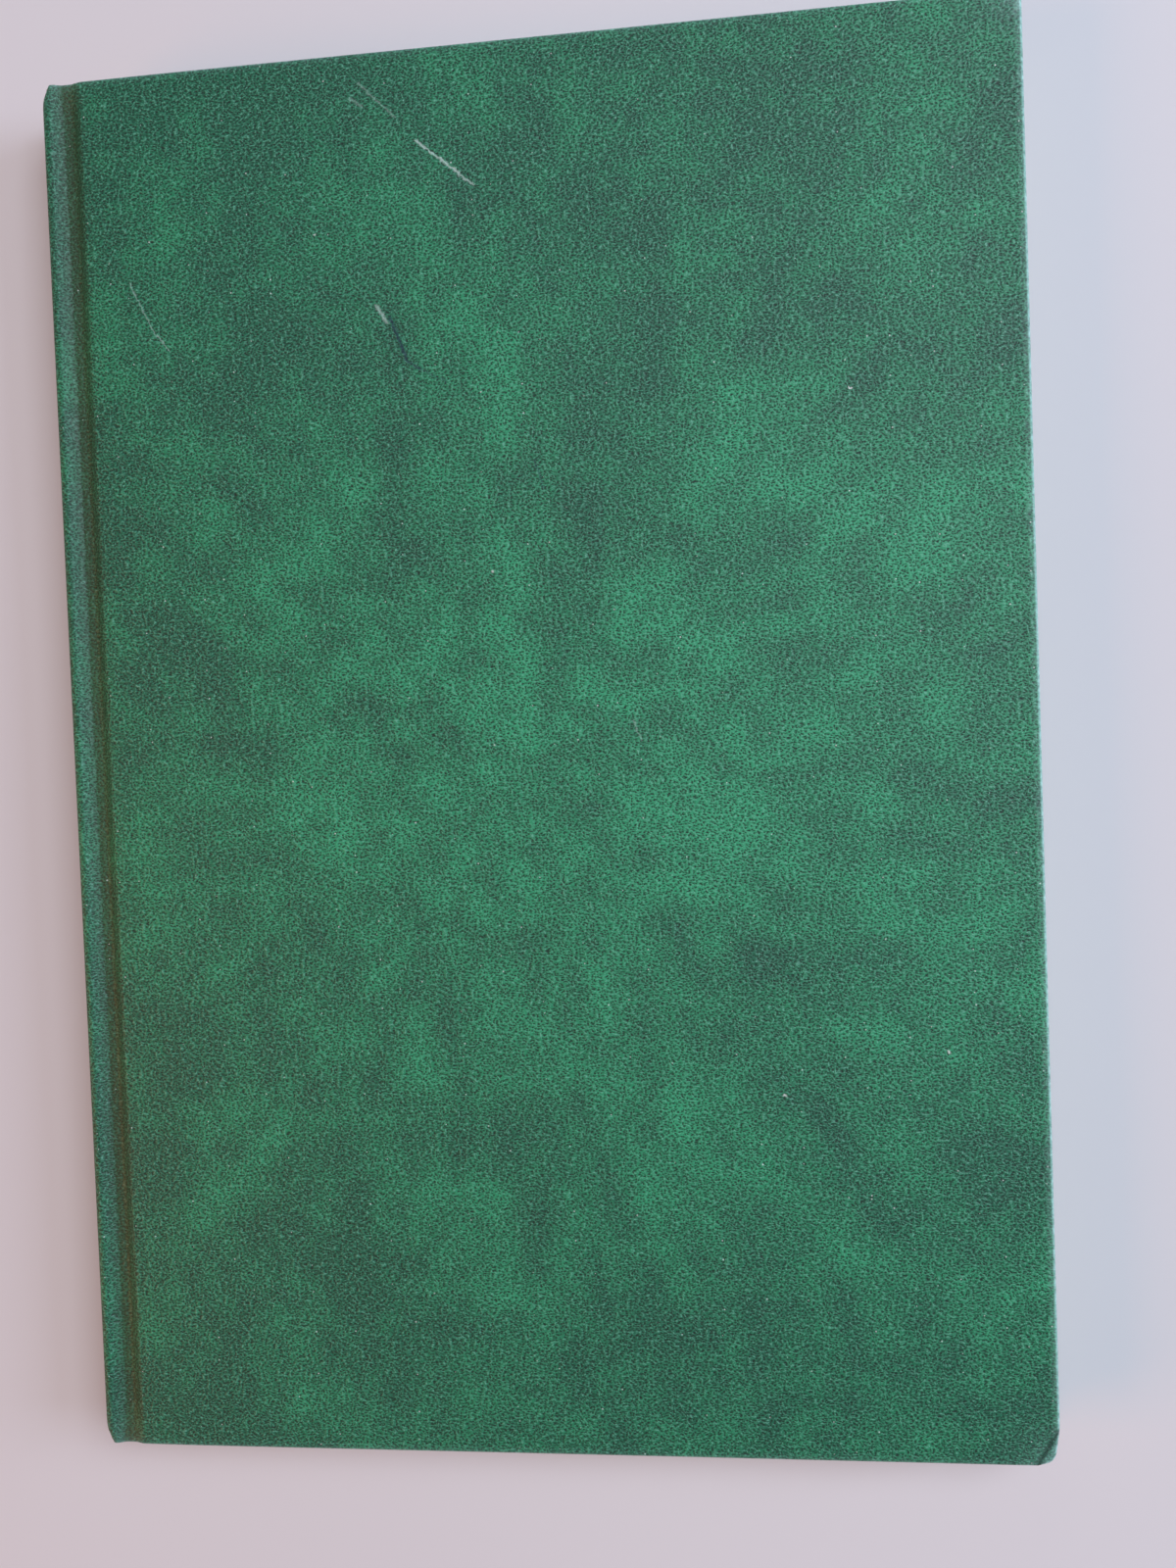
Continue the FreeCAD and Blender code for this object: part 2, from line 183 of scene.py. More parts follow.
def area_light(name, place, side, watts, code):
    """A square area light at place, turned to face the book."""
    data = bpy.data.lights.new(name, "AREA")
    data.size = side
    data.energy = watts
    data.color = paint(code)[:3]
    lamp = bpy.data.objects.new(name, data)
    outward = np.array(place) - AIM
    outward = outward / np.linalg.norm(outward)
    across = np.cross([0.0, 1.0, 0.0], outward)
    across = across / np.linalg.norm(across)
    pose = np.eye(4)
    pose[:3, :3] = np.array([across, np.cross(outward, across), outward]).T
    pose[:3, 3] = place
    lamp.matrix_world = Matrix(pose.tolist())
    bpy.context.collection.objects.link(lamp)


for light, facts in LIGHTS.items():
    area_light(light, *facts)

world = bpy.data.worlds.new("room")
world.use_nodes = True
world.node_tree.nodes["Background"].inputs["Color"].default_value = paint("#cfd6e2")
world.node_tree.nodes["Background"].inputs["Strength"].default_value = 0.30
bpy.context.scene.world = world
bpy.context.scene.view_settings.view_transform = "Standard"
print("lights", list(LIGHTS))

# %% [markdown]
# ## One way to make every sheet
# Nearly all of a book is sheets, so every new piece here is a grid of points worked out at once:
# a line seen from the end of the book, carried from tail to head. Two helpers do it. The first
# rounds the corners of a line, and the second turns a grid of points into a mesh with a map of
# where each point lay on the flat sheet, so that a pattern stays with the sheet when it bends.

# %% Lines with rounded corners
def rounded_line(corners, radii, step):
    """Points along straight runs whose inner corners are rounded. At a corner that turns by t, an
    arc of radius r starts r tan(t / 2) before it and ends as far after it. Straight runs are cut
    into steps no longer than step. Returns an array of points and the length run up to each."""
    corners = np.array(corners, float)
    line = [corners[0]]
    for at, radius in enumerate(radii, start=1):
        before = corners[at] - corners[at - 1]
        after = corners[at + 1] - corners[at]
        before = before / np.linalg.norm(before)
        after = after / np.linalg.norm(after)
        turning = math.atan2(before[0] * after[1] - before[1] * after[0], before @ after)
        reach = radius * math.tan(abs(turning) / 2)
        side = math.copysign(1.0, turning) * np.array([-before[1], before[0]])
        centre = corners[at] - before * reach + side * radius
        share = np.linspace(0, turning, max(3, 2 + round(abs(turning) / 0.22)))[:, None]
        arm = -side * radius
        swung = np.array([-arm[1], arm[0]])
        line.extend(centre + arm * np.cos(share) + swung * np.sin(share))
    line.append(corners[-1])
    line = np.array(line)
    run = np.concatenate([[0.0], np.cumsum(np.linalg.norm(np.diff(line, axis=0), axis=1))])
    fresh = np.concatenate([
        np.linspace(a, b, max(1, math.ceil((b - a) / step)), endpoint=False)
        for a, b in zip(run[:-1], run[1:])
    ] + [run[-1:]])
    points = np.stack([np.interp(fresh, run, line[:, k]) for k in range(2)], axis=1)
    return points, fresh


# %% Grids of points to meshes
def grid_mesh(name, points, flat=None, around=False, caps=False, missing=None, flip=False,
              values=None, weld=0.0, edge_rows=None):
    """A mesh from points[row, column] in millimetres. Faces look along (next row) x (next column),
    or the other way with flip. flat[row, column] is each point's place on the flat sheet, kept in
    metres as the map "cut". around joins the last column to the first, caps closes the first and
    last rows with one face each, missing marks faces to leave out, values are numbers kept at each
    point, weld joins points nearer than that, and edge_rows are rows that take material 2."""
    rows, columns = points.shape[:2]
    number = np.arange(rows * columns).reshape(rows, columns)
    if around:
        number = np.concatenate([number, number[:, :1]], axis=1)
    quads = np.stack([number[:-1, :-1], number[1:, :-1], number[1:, 1:], number[:-1, 1:]], axis=-1)
    kind = np.zeros(quads.shape[:2], int)
    if edge_rows is not None:
        kind[edge_rows] = 1
    keep = np.ones(quads.shape[:2], bool) if missing is None else ~missing
    quads, kind = quads[keep], kind[keep]
    if flip:
        quads = quads[:, ::-1]
    loops = quads.tolist()
    kinds = kind.tolist()
    if caps:
        loops += [number[0, :-1][::-1].tolist(), number[-1, :-1].tolist()]
        kinds += [0, 0]
        if flip:
            loops[-2:] = [cap[::-1] for cap in loops[-2:]]
    mesh = bpy.data.meshes.new(name)
    mesh.from_pydata((points.reshape(-1, 3) * MM).tolist(), [], loops)
    mesh.polygons.foreach_set("material_index", kinds)
    corner = np.empty(len(mesh.loops), int)
    mesh.loops.foreach_get("vertex_index", corner)
    if flat is not None:
        layer = mesh.uv_layers.new(name="cut")
        layer.uv.foreach_set("vector", (flat.reshape(-1, 2)[corner] * MM).ravel())
    for label, amounts in (values or {}).items():
        mesh.attributes.new(label, "FLOAT", "POINT").data.foreach_set("value", amounts.ravel())
    mesh.shade_smooth()
    if weld:
        solid = bmesh.new()
        solid.from_mesh(mesh)
        bmesh.ops.remove_doubles(solid, verts=solid.verts, dist=weld * MM)
        bmesh.ops.dissolve_degenerate(solid, edges=solid.edges, dist=weld * MM)
        solid.to_mesh(mesh)
        solid.free()
    return mesh


def piece(name, mesh, materials, thickness=None, outer=False):
    """An object at the origin with that mesh. thickness, in millimetres, gives a sheet its two
    faces: half on each side, or all of it inwards where the mesh is the outer face."""
    for material in materials:
        mesh.materials.append(material)
    made = bpy.data.objects.new(name, mesh)
    bpy.context.collection.objects.link(made)
    if thickness:
        wall = made.modifiers.new("thickness", "SOLIDIFY")
        wall.thickness = thickness * MM
        wall.offset = -1.0 if outer else 0.0
        wall.use_even_offset = True
    print(f"{name}: {len(mesh.polygons)} faces")
    return made


# %% [markdown]
# ## Leatherette
# The covering is leatherette: a cotton-backed sheet with a green vinyl skin. The skin is printed
# in two tones, so it looks clouded, and then pressed between rollers with a fine hair-cell grain:
# pebbles 0.8 mm long and 0.56 mm wide that lie across the book, with small pits in them. The
# skin is satin, and its colour holds painted light: shade in the pits, tiny highlights on the
# crests, a pool of light on the cover, a highlight along the fore edge and shade in the groove.
# Use has rubbed the edges pale and left a few scratches, a touch of dark ink and white specks.
# The pattern is read from the flat sheet, so it runs on round the edges and bends with the joint.

# %% Grain and clouding
SKIN_DEEP = "#1a6648"
SKIN_MIDDLE = "#208056"
SKIN_BRIGHT = "#289a68"
# The next is the pale of rubbed edges, and also a painted highlight along the fore edge and fore corners.
WORN_AND_LIT = "#a9d8cb"
# The next two are painted shade in the grain's pits and a painted highlight on its crests.
PIT_SHADE = "#04251a"
CREST_HIGHLIGHT = "#69b094"
GROOVE_SHADE = "#353a1b"               # painted shade and a painted warm reflection in the French groove, darker and browner there
SCRATCH = "#b9d6ca"
INK = "#10243f"
KNOCK = "#0d2f20"
SPECK = "#e8efe8"
PEBBLE = (0.80, 0.56)           # millimetres along and across
PATCH = 8.0                     # millimetres across a small cloud of the print
BROAD = 34.0                    # millimetres across a large one
GRAIN_DEPTH = 0.12              # millimetres, from a ridge to the bottom of a hair pit
BACK_SHIFT = 700.0              # the back half's flat place is this far along, clear of the front's

leatherette, tree, skin = new_material("embossed_vinyl_leatherette", IOR=1.5)
cut_map = add(tree, "UVMap", uv_map="cut")
flat_mm = add(tree, "VectorMath", {0: cut_map, "Scale": 1 / MM}, operation="SCALE")
HALF_TONE = (0.5, 0.5, 0.5)     # the middle of a noise's colour
sway = add(tree, "TexNoise", {"Vector": flat_mm, "Scale": 1 / 2.4, "Detail": 2.0},
           noise_dimensions="2D")
drift = add(tree, "VectorMath", {0: sway.outputs["Color"], 1: HALF_TONE}, operation="SUBTRACT")
wavy = add(tree, "VectorMath", {0: drift, 1: (1.1, 0.8, 0.0), 2: flat_mm}, operation="MULTIPLY_ADD")
pebbles = add(tree, "Mapping", {"Vector": wavy, "Scale": (1 / PEBBLE[0], 1 / PEBBLE[1], 1.0)})
hair = add(tree, "TexVoronoi", {"Vector": pebbles, "Scale": 1.0, "Randomness": 0.95},
           voronoi_dimensions="2D")
fine = add(tree, "TexNoise", {"Vector": pebbles, "Scale": 1 / 0.55, "Detail": 2.0, "Roughness": 0.6},
           noise_dimensions="2D")
height = add(tree, "Math", {0: fine, 1: 0.95, 2: hair}, operation="MULTIPLY_ADD")
patch = add(tree, "TexNoise", {"Vector": wavy, "Scale": 1 / PATCH, "Detail": 4.0, "Roughness": 0.62},
            noise_dimensions="2D")
broad = add(tree, "TexNoise", {"Vector": flat_mm, "Scale": 1 / BROAD, "Detail": 3.0, "Roughness": 0.55},
            noise_dimensions="2D")
print("leatherette: pebbles", PEBBLE, "mm, clouds", PATCH, "and", BROAD, "mm")

# %% Marks left by use
MARKS = [       # kind, start on the front cover, length, degrees from +X, width, strength
    ("pale", (-33, 145), 11.0, -45, 0.35, 0.25),
    ("pale", (-35, 142), 3.0, -35, 0.50, 0.22),
    ("pale", (-21, 132), 12.0, -40, 0.42, 0.75),
    ("pale", (-12, 124), 4.0, -35, 0.36, 0.60),
    ("pale", (-86, 107), 13.0, -65, 0.26, 0.36),
    ("pale", (-80, 95), 4.0, -55, 0.26, 0.45),
    ("pale", (-31, 98), 4.5, -60, 0.55, 0.50),
    ("pale", (21, 7), 4.5, -70, 0.25, 0.30),
    ("ink", (-28, 95), 10.0, -70, 0.55, 0.80),
    ("ink", (-25, 86), 4.0, -35, 0.60, 0.60),
    ("ink", (-22, 84), 6.5, -30, 0.42, 0.40),
    ("ink", (2, 63), 6.0, -75, 0.42, 0.45),
    ("crease", (104, -144), 9.0, -120, 0.95, 0.85),
    ("white", (-44, 114), 0.3, 0, 0.28, 0.8),
    ("white", (-8, 40), 0.3, 0, 0.28, 0.8),
    ("white", (68, 74), 0.4, 0, 0.34, 0.9),
    ("white", (84, -64), 0.5, -60, 0.42, 1.0),
    ("white", (50, -73), 0.4, -30, 0.30, 0.8),
]


def stroke(start, length, degrees, width, strength):
    """How much a short straight mark covers: strength on its line, falling to nothing at width
    from it. The distance is from the point to start plus t along, where along is the mark's own
    length and direction, and t is the point's share of it, held between 0 and 1. Noise makes its
    edge ragged."""
    turn = math.radians(degrees)
    along = (length * math.cos(turn), length * math.sin(turn), 0.0)
    square = along[0] ** 2 + along[1] ** 2
    away = add(tree, "VectorMath", {0: ragged, 1: (*start, 0.0)}, operation="SUBTRACT")
    dot = add(tree, "VectorMath", {0: away, 1: along}, operation="DOT_PRODUCT").outputs["Value"]
    share = add(tree, "Math", {0: dot, 1: square}, operation="DIVIDE", use_clamp=True)
    back_to_line = add(tree, "VectorMath", {0: along, "Scale": share}, operation="SCALE")
    gap = add(tree, "VectorMath", {0: away, 1: back_to_line}, operation="DISTANCE").outputs["Value"]
    fall = {0: gap, 1: -strength / width, 2: strength}
    return add(tree, "Math", fall, operation="MULTIPLY_ADD", use_clamp=True)


jitter = add(tree, "TexNoise", {"Vector": flat_mm, "Scale": 1 / 0.9, "Detail": 3.0}, noise_dimensions="2D")
shake = add(tree, "VectorMath", {0: jitter.outputs["Color"], 1: HALF_TONE}, operation="SUBTRACT")
ragged = add(tree, "VectorMath", {0: shake, 1: (1.1, 1.1, 0.0), 2: flat_mm}, operation="MULTIPLY_ADD")
cover = {}
for mark, start, length, degrees, width, strength in MARKS:
    one = stroke(start, length, degrees, width, strength)
    if mark in cover:
        one = add(tree, "Math", {0: cover[mark], 1: one}, operation="MAXIMUM")
    cover[mark] = one

DUST_SPACING = 4.5      # millimetres between places where a speck may lie
dust_cells = add(tree, "TexVoronoi", {"Vector": flat_mm, "Scale": 1 / DUST_SPACING, "Randomness": 1.0},
                 voronoi_dimensions="2D")
dust_pick = add(tree, "SeparateXYZ", {0: dust_cells.outputs["Color"]})
dust_size = add(tree, "Math", {0: dust_pick, 1: 0.13, 2: -0.091}, operation="MULTIPLY_ADD", use_clamp=True)
dust = add(tree, "Math", {0: dust_cells, 1: dust_size}, operation="LESS_THAN")
print("marks", {kind: sum(mark[0] == kind for mark in MARKS) for kind in cover})

# %% The skin's colour, shine and relief
# The print: large and small clouds in equal parts. Over them a painted pool of light: both a little
# brighter round one place and darker away from it.
BRIGHTEST = (34.0, -8.0, 0.0)   # the middle of the painted pool of light on the cover, in millimetres
FALL_OFF = 0.0013               # how much darker for each millimetre away from it
LEVEL = 0.095                   # how much brighter at it
reach = BACK_SHIFT / 2
# Painted pool of light: the tone is lifted round one place and falls off away from it, on each half of the
# sheet.
own_half = add(tree, "VectorMath", {0: flat_mm, 1: (reach,) * 3, 2: (-reach,) * 3}, operation="WRAP")
from_place = add(tree, "VectorMath", {0: own_half, 1: BRIGHTEST}, operation="DISTANCE")
painted_light_pool = add(tree, "Math", {0: from_place.outputs["Value"], 1: -FALL_OFF, 2: LEVEL},
             operation="MULTIPLY_ADD")
broad_part = add(tree, "Math", {0: broad, 1: 0.52, 2: painted_light_pool}, operation="MULTIPLY_ADD")
clouding_and_light_pool = add(tree, "Math", {0: patch, 1: 0.48, 2: broad_part}, operation="MULTIPLY_ADD")
tone = add(tree, "ValToRGB", {0: clouding_and_light_pool},
           stops=[(0.34, SKIN_DEEP), (0.50, SKIN_MIDDLE), (0.66, SKIN_BRIGHT)])

# The grain: painted shade darkens the lowest parts of the relief, the pits, and a painted highlight
# lightens the highest, short crests. Each is steepness times height plus a level, held between 0 and 1.
hollow = add(tree, "Math", {0: height, 1: -2.6, 2: 2.42}, operation="MULTIPLY_ADD", use_clamp=True)
crest = add(tree, "Math", {0: hair, 1: 0.35, 2: fine}, operation="MULTIPLY_ADD")
ridge = add(tree, "Math", {0: crest, 1: 2.9, 2: -2.05}, operation="MULTIPLY_ADD", use_clamp=True)
# Painted shade in the pits, then painted highlights on the crests.
pit_shaded = add(tree, "MixRGB", {0: hollow, 1: tone, 2: paint(PIT_SHADE)})
grain_shade_and_highlight = add(tree, "MixRGB", {0: ridge, 1: pit_shaded, 2: paint(CREST_HIGHLIGHT)})

# Over them, in this order: rubbing, with a painted highlight along the fore edge; painted shade and a
# painted warm reflection in the groove; scratches, ink, the knock and specks.
wear_and_highlight = add(tree, "Attribute", attribute_name="wear_and_highlight").outputs["Fac"]
groove_shade = add(tree, "Attribute", attribute_name="groove_shade").outputs["Fac"]
scuffs = add(tree, "TexNoise", {"Vector": flat_mm, "Scale": 1 / 1.6, "Detail": 4.0, "Roughness": 0.7},
             noise_dimensions="2D")
patchy = add(tree, "Math", {0: scuffs, 1: 2.6, 2: -0.45}, operation="MULTIPLY_ADD")
# Pale rubbing on the edges, which also paints a highlight along the fore edge and fore corners.
rubbed_and_lit_mask = add(tree, "Math", {0: wear_and_highlight, 1: patchy}, operation="MULTIPLY", use_clamp=True)
# Painted shade and a painted warm reflection in the groove, mixed over the grain.
groove_shade_amount = add(tree, "Math", {0: groove_shade, 1: 0.56}, operation="MULTIPLY")
groove_darkened = add(tree, "MixRGB", {0: groove_shade_amount, 1: grain_shade_and_highlight, 2: paint(GROOVE_SHADE)})
rubbed_and_lit = add(tree, "MixRGB", {0: rubbed_and_lit_mask, 1: groove_darkened, 2: paint(WORN_AND_LIT)})
scratched = add(tree, "MixRGB", {0: cover["pale"], 1: rubbed_and_lit, 2: paint(SCRATCH)})
inked = add(tree, "MixRGB", {0: cover["ink"], 1: scratched, 2: paint(INK)})
folded = add(tree, "MixRGB", {0: cover["crease"], 1: inked, 2: paint(KNOCK)})
faint_dust = add(tree, "Math", {0: dust, 1: 0.55}, operation="MULTIPLY")
whites = add(tree, "Math", {0: cover["white"], 1: faint_dust}, operation="MAXIMUM")
final = add(tree, "MixRGB", {0: whites, 1: folded, 2: paint(SPECK)})

# Pits are rougher than crests, and the bright clouds of the print are a little rougher too.
pit_shine = add(tree, "Math", {0: hollow, 1: 0.15, 2: 0.36}, operation="MULTIPLY_ADD")
shine = add(tree, "Math", {0: patch, 1: 0.16, 2: pit_shine}, operation="MULTIPLY_ADD")
relief = add(tree, "Bump", {"Height": height, "Distance": GRAIN_DEPTH * MM, "Strength": 1.0})
tree.links.new(final.outputs[0], skin.inputs["Base Color"])
tree.links.new(shine.outputs[0], skin.inputs["Roughness"])
tree.links.new(relief.outputs[0], skin.inputs["Normal"])

# %% [markdown]
# ## The case covering
# One sheet of leatherette covers both boards and the spine. Here it is two sheets that meet down
# the middle of the spine, because each must bend about its own joint. Seen from the end, the line
# goes up the spine, over its rounded edge, down into the French groove where the cover hinges,
# up the edge of the board and across it. Round the outer edges the sheet folds over the board and
# 15 mm in onto its inner face, and the two folds meet in a mitre under each fore corner.

# %% The line seen from the end, and the fold round an edge
CORNER = 2.0            # radius of a fore corner seen from above
EDGE = 0.75             # rounding of a covered edge, outer face
UNDER_EDGE = 0.6        # rounding of a covered edge, inner face
TURN_IN = 15.0
GROOVE = 1.8            # depth of the groove
FOLD_INNER = 2.1        # spine face to the inner face of its fold
OVER_ROLL = 2.0         # these four are places across the joint, from the spine's face
GROOVE_FROM = 4.4
GROOVE_TO = 6.6
BOARD_TOP = 9.0

groove_floor = CASE_TOP - GROOVE
end_view, end_run = rounded_line(
    [
        (SPINE_FACE, CASE_TOP / 2),
        (SPINE_FACE, CASE_TOP),
        (SPINE_FACE + OVER_ROLL, CASE_TOP - 0.05),
        (SPINE_FACE + GROOVE_FROM, groove_floor + 0.1),
        (SPINE_FACE + GROOVE_TO, groove_floor),
        (SPINE_FACE + BOARD_TOP, CASE_TOP),
        (FORE_FACE - CORNER, CASE_TOP),
    ],
    [1.4, 1.4, 1.3, 1.6, 1.6],
    2.6,
)
BOARD_START = SPINE_FACE + 9.6          # past the rounding of the board
FILLED = 0.55           # share of the groove's depth that is filled at the very head and tail
FILL_REACH = 5.0        # and how far in from there that is felt
DRAWN_IN = 1.5          # how far the spine's face is drawn in at the very head and tail
DRAWN_REACH = 2.4
GROOVE_SHADE_PLACE = 5.4        # the middle of the painted shade in the groove, from the spine's face
GROOVE_SHADE_WIDTH = 2.6
before_board = end_view[:, 0] < BOARD_START
near = np.interp(np.arange(0, end_run[before_board][-1], 0.45), end_run, end_run)
end_stations = np.union1d(near, end_run)
end_stations = end_stations[np.concatenate([[True], np.diff(end_stations) > 0.05])]
end_view = np.stack([np.interp(end_stations, end_run, end_view[:, k]) for k in range(2)], axis=1)

fold, fold_run = rounded_line(
    [(0.0, 0.0), (CORNER, 0.0), (CORNER, SLAB), (0.0, SLAB), (CORNER - TURN_IN, SLAB)],
    [EDGE, UNDER_EDGE, 0.0],
    1.3,
)
print("end line", end_view.shape[0], "points; fold", fold.shape[0], "points,", round(fold_run[-1], 1), "mm")


# %% The half sheet
def eased(half_length, count):
    """Places from -half_length to half_length that lie closer near both ends: 0.4 t and
    0.6 sin(t pi / 2) together, for t from -1 to 1."""
    t = np.linspace(-1, 1, count)
    return half_length * (0.4 * t + 0.6 * np.sin(t * math.pi / 2))


def case_half(name, upper):
    """Half of the case's covering. A point at row k and column l has a fold distance sk past the
    fore edge and sl past the head or the tail. The larger of the two, s, gives how far out and how
    deep the fold is there; at a corner the two share a quarter turn in proportion to sk and sl.
    Depth moves a point from the outer line to the inner one. Under the board the fold narrows, so
    that the two folds meet in a mitre. The lower half is the upper one mirrored."""
    straight = HALF_HEIGHT - CORNER
    y_flat = eased(straight, 131)
    rest = np.zeros(len(end_view))
    sk = np.concatenate([rest, fold_run[1:]])[:, None]
    sl = np.concatenate([fold_run[:0:-1], np.zeros(len(y_flat)), fold_run[1:]])[None, :]
    side = np.concatenate([-np.ones(len(fold_run) - 1), np.sign(y_flat), np.ones(len(fold_run) - 1)])
    y_line = np.concatenate([
        np.full(len(fold_run) - 1, -straight), y_flat, np.full(len(fold_run) - 1, straight)
    ])
    line = np.concatenate([end_view, np.repeat(end_view[-1:], len(fold_run) - 1, axis=0)])
    outer_x, outer_z = line[:, :1], line[:, 1:]
    to_end = (HALF_HEIGHT - np.abs(y_line) - sl.ravel())[None, :]
    filled = FILLED * np.exp(-((to_end / FILL_REACH) ** 2))
    in_groove = outer_x > SPINE_FACE + OVER_ROLL
    outer_z = np.where(in_groove, CASE_TOP - (CASE_TOP - outer_z) * (1 - filled), outer_z)
    at_spine = np.clip(1 - (outer_x - SPINE_FACE) / 4.0, 0, 1)
    outer_x = outer_x + DRAWN_IN * at_spine * np.exp(-((to_end / DRAWN_REACH) ** 2))
    inner_x = np.maximum(outer_x, SPINE_FACE + FOLD_INNER)
    inner_z = np.minimum(outer_z, CASE_TOP - SLAB)
    in_joint = (outer_x > SPINE_FACE + 2.5) & (outer_x < BOARD_EDGE)
    inner_z = np.where(in_joint, np.minimum(inner_z, groove_floor - 2 * CLOTH + 0.05), inner_z)

    s = np.maximum(sk, sl)
    out = np.interp(s, fold_run, fold[:, 0])
    deep = np.interp(s, fold_run, fold[:, 1])
    small, large = np.minimum(sk, sl), np.where(s > 0, s, 1.0)
    angle = np.where(sk >= sl, math.pi / 4 * small / large, math.pi / 2 - math.pi / 4 * small / large)
    under = np.minimum(out, 0.0)
    past_fore = np.where(out > 0, out * np.cos(angle), out) * (sk > 0)
    past_head = np.where(out > 0, out * np.sin(angle), out) * (sl > 0)
    span = FORE_FACE - CORNER - BOARD_START
    on_board = np.clip((line[:, :1] - BOARD_START) / span, 0, 1)
    narrow_x = np.where((sk == 0) & (sl > 0), under * on_board, 0.0)
    narrow_y = np.where((sl == 0) & (sk > 0), 1 + under / straight, 1.0)
    depth = deep / SLAB
    x = outer_x + (inner_x - outer_x) * depth + past_fore + narrow_x
    y = y_line[None, :] * narrow_y + side[None, :] * past_head
    z = outer_z + (inner_z - outer_z) * depth + np.zeros_like(s)
    if upper:
        z = z + lift(x, y) * (1 - depth)
        x, y, z = bumped(x, y, z)
    else:
        z = CASE_TOP - z

    run_x = np.concatenate([end_stations - end_stations[-1], fold_run[1:]])[:, None]
    flat_x = FORE_FACE - CORNER + run_x + np.zeros_like(s)
    flat_y = y_line[None, :] + side[None, :] * sl + np.zeros_like(s)
    if not upper:
        flat_x = flat_x + BACK_SHIFT
    flat = np.stack([flat_x, flat_y], axis=-1)

    edge_at = fold_run[np.argmin(np.abs(fold[:, 0] - (CORNER - 0.2)))]
    ridge = np.exp(-(((s - edge_at) / 0.45) ** 2))
    corner = (sk > 0) & (sl > 0)
    near_corner = np.exp(-np.hypot(x - FORE_FACE, np.abs(y) - HALF_HEIGHT) / 3.0)
    roll = np.exp(-np.hypot(x - SPINE_FACE, np.abs(y) - HALF_HEIGHT) / 2.5)
    # Rubbed edges and corners are real wear; the extra along the fore edge and at the fore corners is a
    # painted highlight where light catches the rounded edge.
    fore_highlight = 0.55 * (sk > 0)
    worn_and_lit = ridge * (0.3 + fore_highlight + 0.5 * corner + near_corner) + 0.5 * near_corner + 0.2 * roll
    worn_and_lit = np.clip(worn_and_lit, 0, 1)
    # A soft band across the joint where the groove lies in shade, kept at each point for painted shade.
    groove_shade_band = np.exp(-(((outer_x - SPINE_FACE - GROOVE_SHADE_PLACE) / GROOVE_SHADE_WIDTH) ** 2)) + np.zeros_like(s)

    mitre = fold_run[np.nonzero((fold[:, 0] < 1e-6) & (fold_run > CORNER))[0][0]]
    row_past = sk[1:] > 0
    column_past = (np.maximum(sl[:, 1:], sl[:, :-1]) > 0)
    depth_in = np.maximum(sk[:-1], np.minimum(sl[:, 1:], sl[:, :-1]))
    missing = row_past & column_past & (depth_in >= mitre - 1e-6)

    mesh = grid_mesh(
        name, np.stack([x, y, z], axis=-1), flat=flat, missing=missing, flip=not upper,
        values={"wear_and_highlight": worn_and_lit, "groove_shade": groove_shade_band}, weld=0.002,
    )
    made = piece(name, mesh, [leatherette], thickness=CLOTH * 0.97, outer=True)
    size = (np.ptp(flat_x), np.ptp(flat_y))
    return made, size, size[0] * size[1] - 2 * (fold_run[-1] - mitre) ** 2


def lift(x, y):
    """How far the upper face stands proud of flat, in millimetres: a board is never quite flat, so
    two slow waves of some twentieths of a millimetre that die away towards the joint."""
    waves = 0.12 + 0.05 * np.sin(x / 31 + 0.7) * np.cos(y / 47) + 0.04 * np.sin(y / 22 + x / 60)
    return np.clip(waves, 0, None) * np.clip((x - BOARD_START) / 12, 0, 1)


CREASE = np.array([(103.5, -144.5), (100.0, -150.5)])    # the fold across the knocked corner
DROOP = 0.30            # how far the tip goes down and in for each millimetre past the crease
TUCK = 0.24


def bumped(x, y, z):
    """The front cover's tail corner was knocked: past a crease across it, each point goes down by
    DROOP and back by TUCK times its distance q past the crease, softened near the crease as
    q^2 / (q + 0.6)."""
    along = (CREASE[1] - CREASE[0]) / np.linalg.norm(CREASE[1] - CREASE[0])
    away = np.array([-along[1], along[0]])
    q = np.clip((x - CREASE[0][0]) * away[0] + (y - CREASE[0][1]) * away[1], 0, None)
    q = q * q / (q + 0.6)
    return x - TUCK * q * away[0], y - TUCK * q * away[1], z - DROOP * q


for upper, side, node in ((True, "front", "front_covering"), (False, "back", "back_covering")):
    half_case, cut_size, cut_area = case_half(f"{side}_leatherette", upper)
    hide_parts(node, "spine_covering")
    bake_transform(half_case)
    print(f"{side} leatherette cut {cut_size[0]:.1f} x {cut_size[1]:.1f} mm,",
          f"area {cut_area / 100:.0f} cm2")

# %% [markdown]
# ## The knocked board
# Under the leatherette, greyboard gives the cover its stiffness. The front board has the same
# knocked corner as its covering, so it is made new, as a slab of rings that grow from the middle
# of its upper face, go down its edge and close under it. The back board keeps its CAD shape.

# %% Fibres for board, card, kraft paper and thread
def fibrous(name, dark, light, size, stretch, rough, depth):
    """A pressed or spun fibre finish: noise of that size in millimetres, stretched along each axis
    by stretch, for both its colour and its relief."""
    material, own, shader = new_material(name, Roughness=rough, IOR=1.5)
    place = add(own, "TexCoord").outputs["Object"]
    scale = tuple(1 / (size * MM * s) for s in stretch)
    scaled = add(own, "Mapping", {"Vector": place, "Scale": scale})
    fibres = add(own, "TexNoise",
                 {"Vector": scaled, "Scale": 1.0, "Detail": 5.0, "Roughness": 0.65})
    tones = add(own, "ValToRGB", {0: fibres}, stops=[(0.32, dark), (0.68, light)])
    own.links.new(tones.outputs[0], shader.inputs["Base Color"])
    raised = add(own, "Bump", {"Height": fibres, "Distance": depth * MM, "Strength": 0.8})
    own.links.new(raised.outputs[0], shader.inputs["Normal"])
    return material


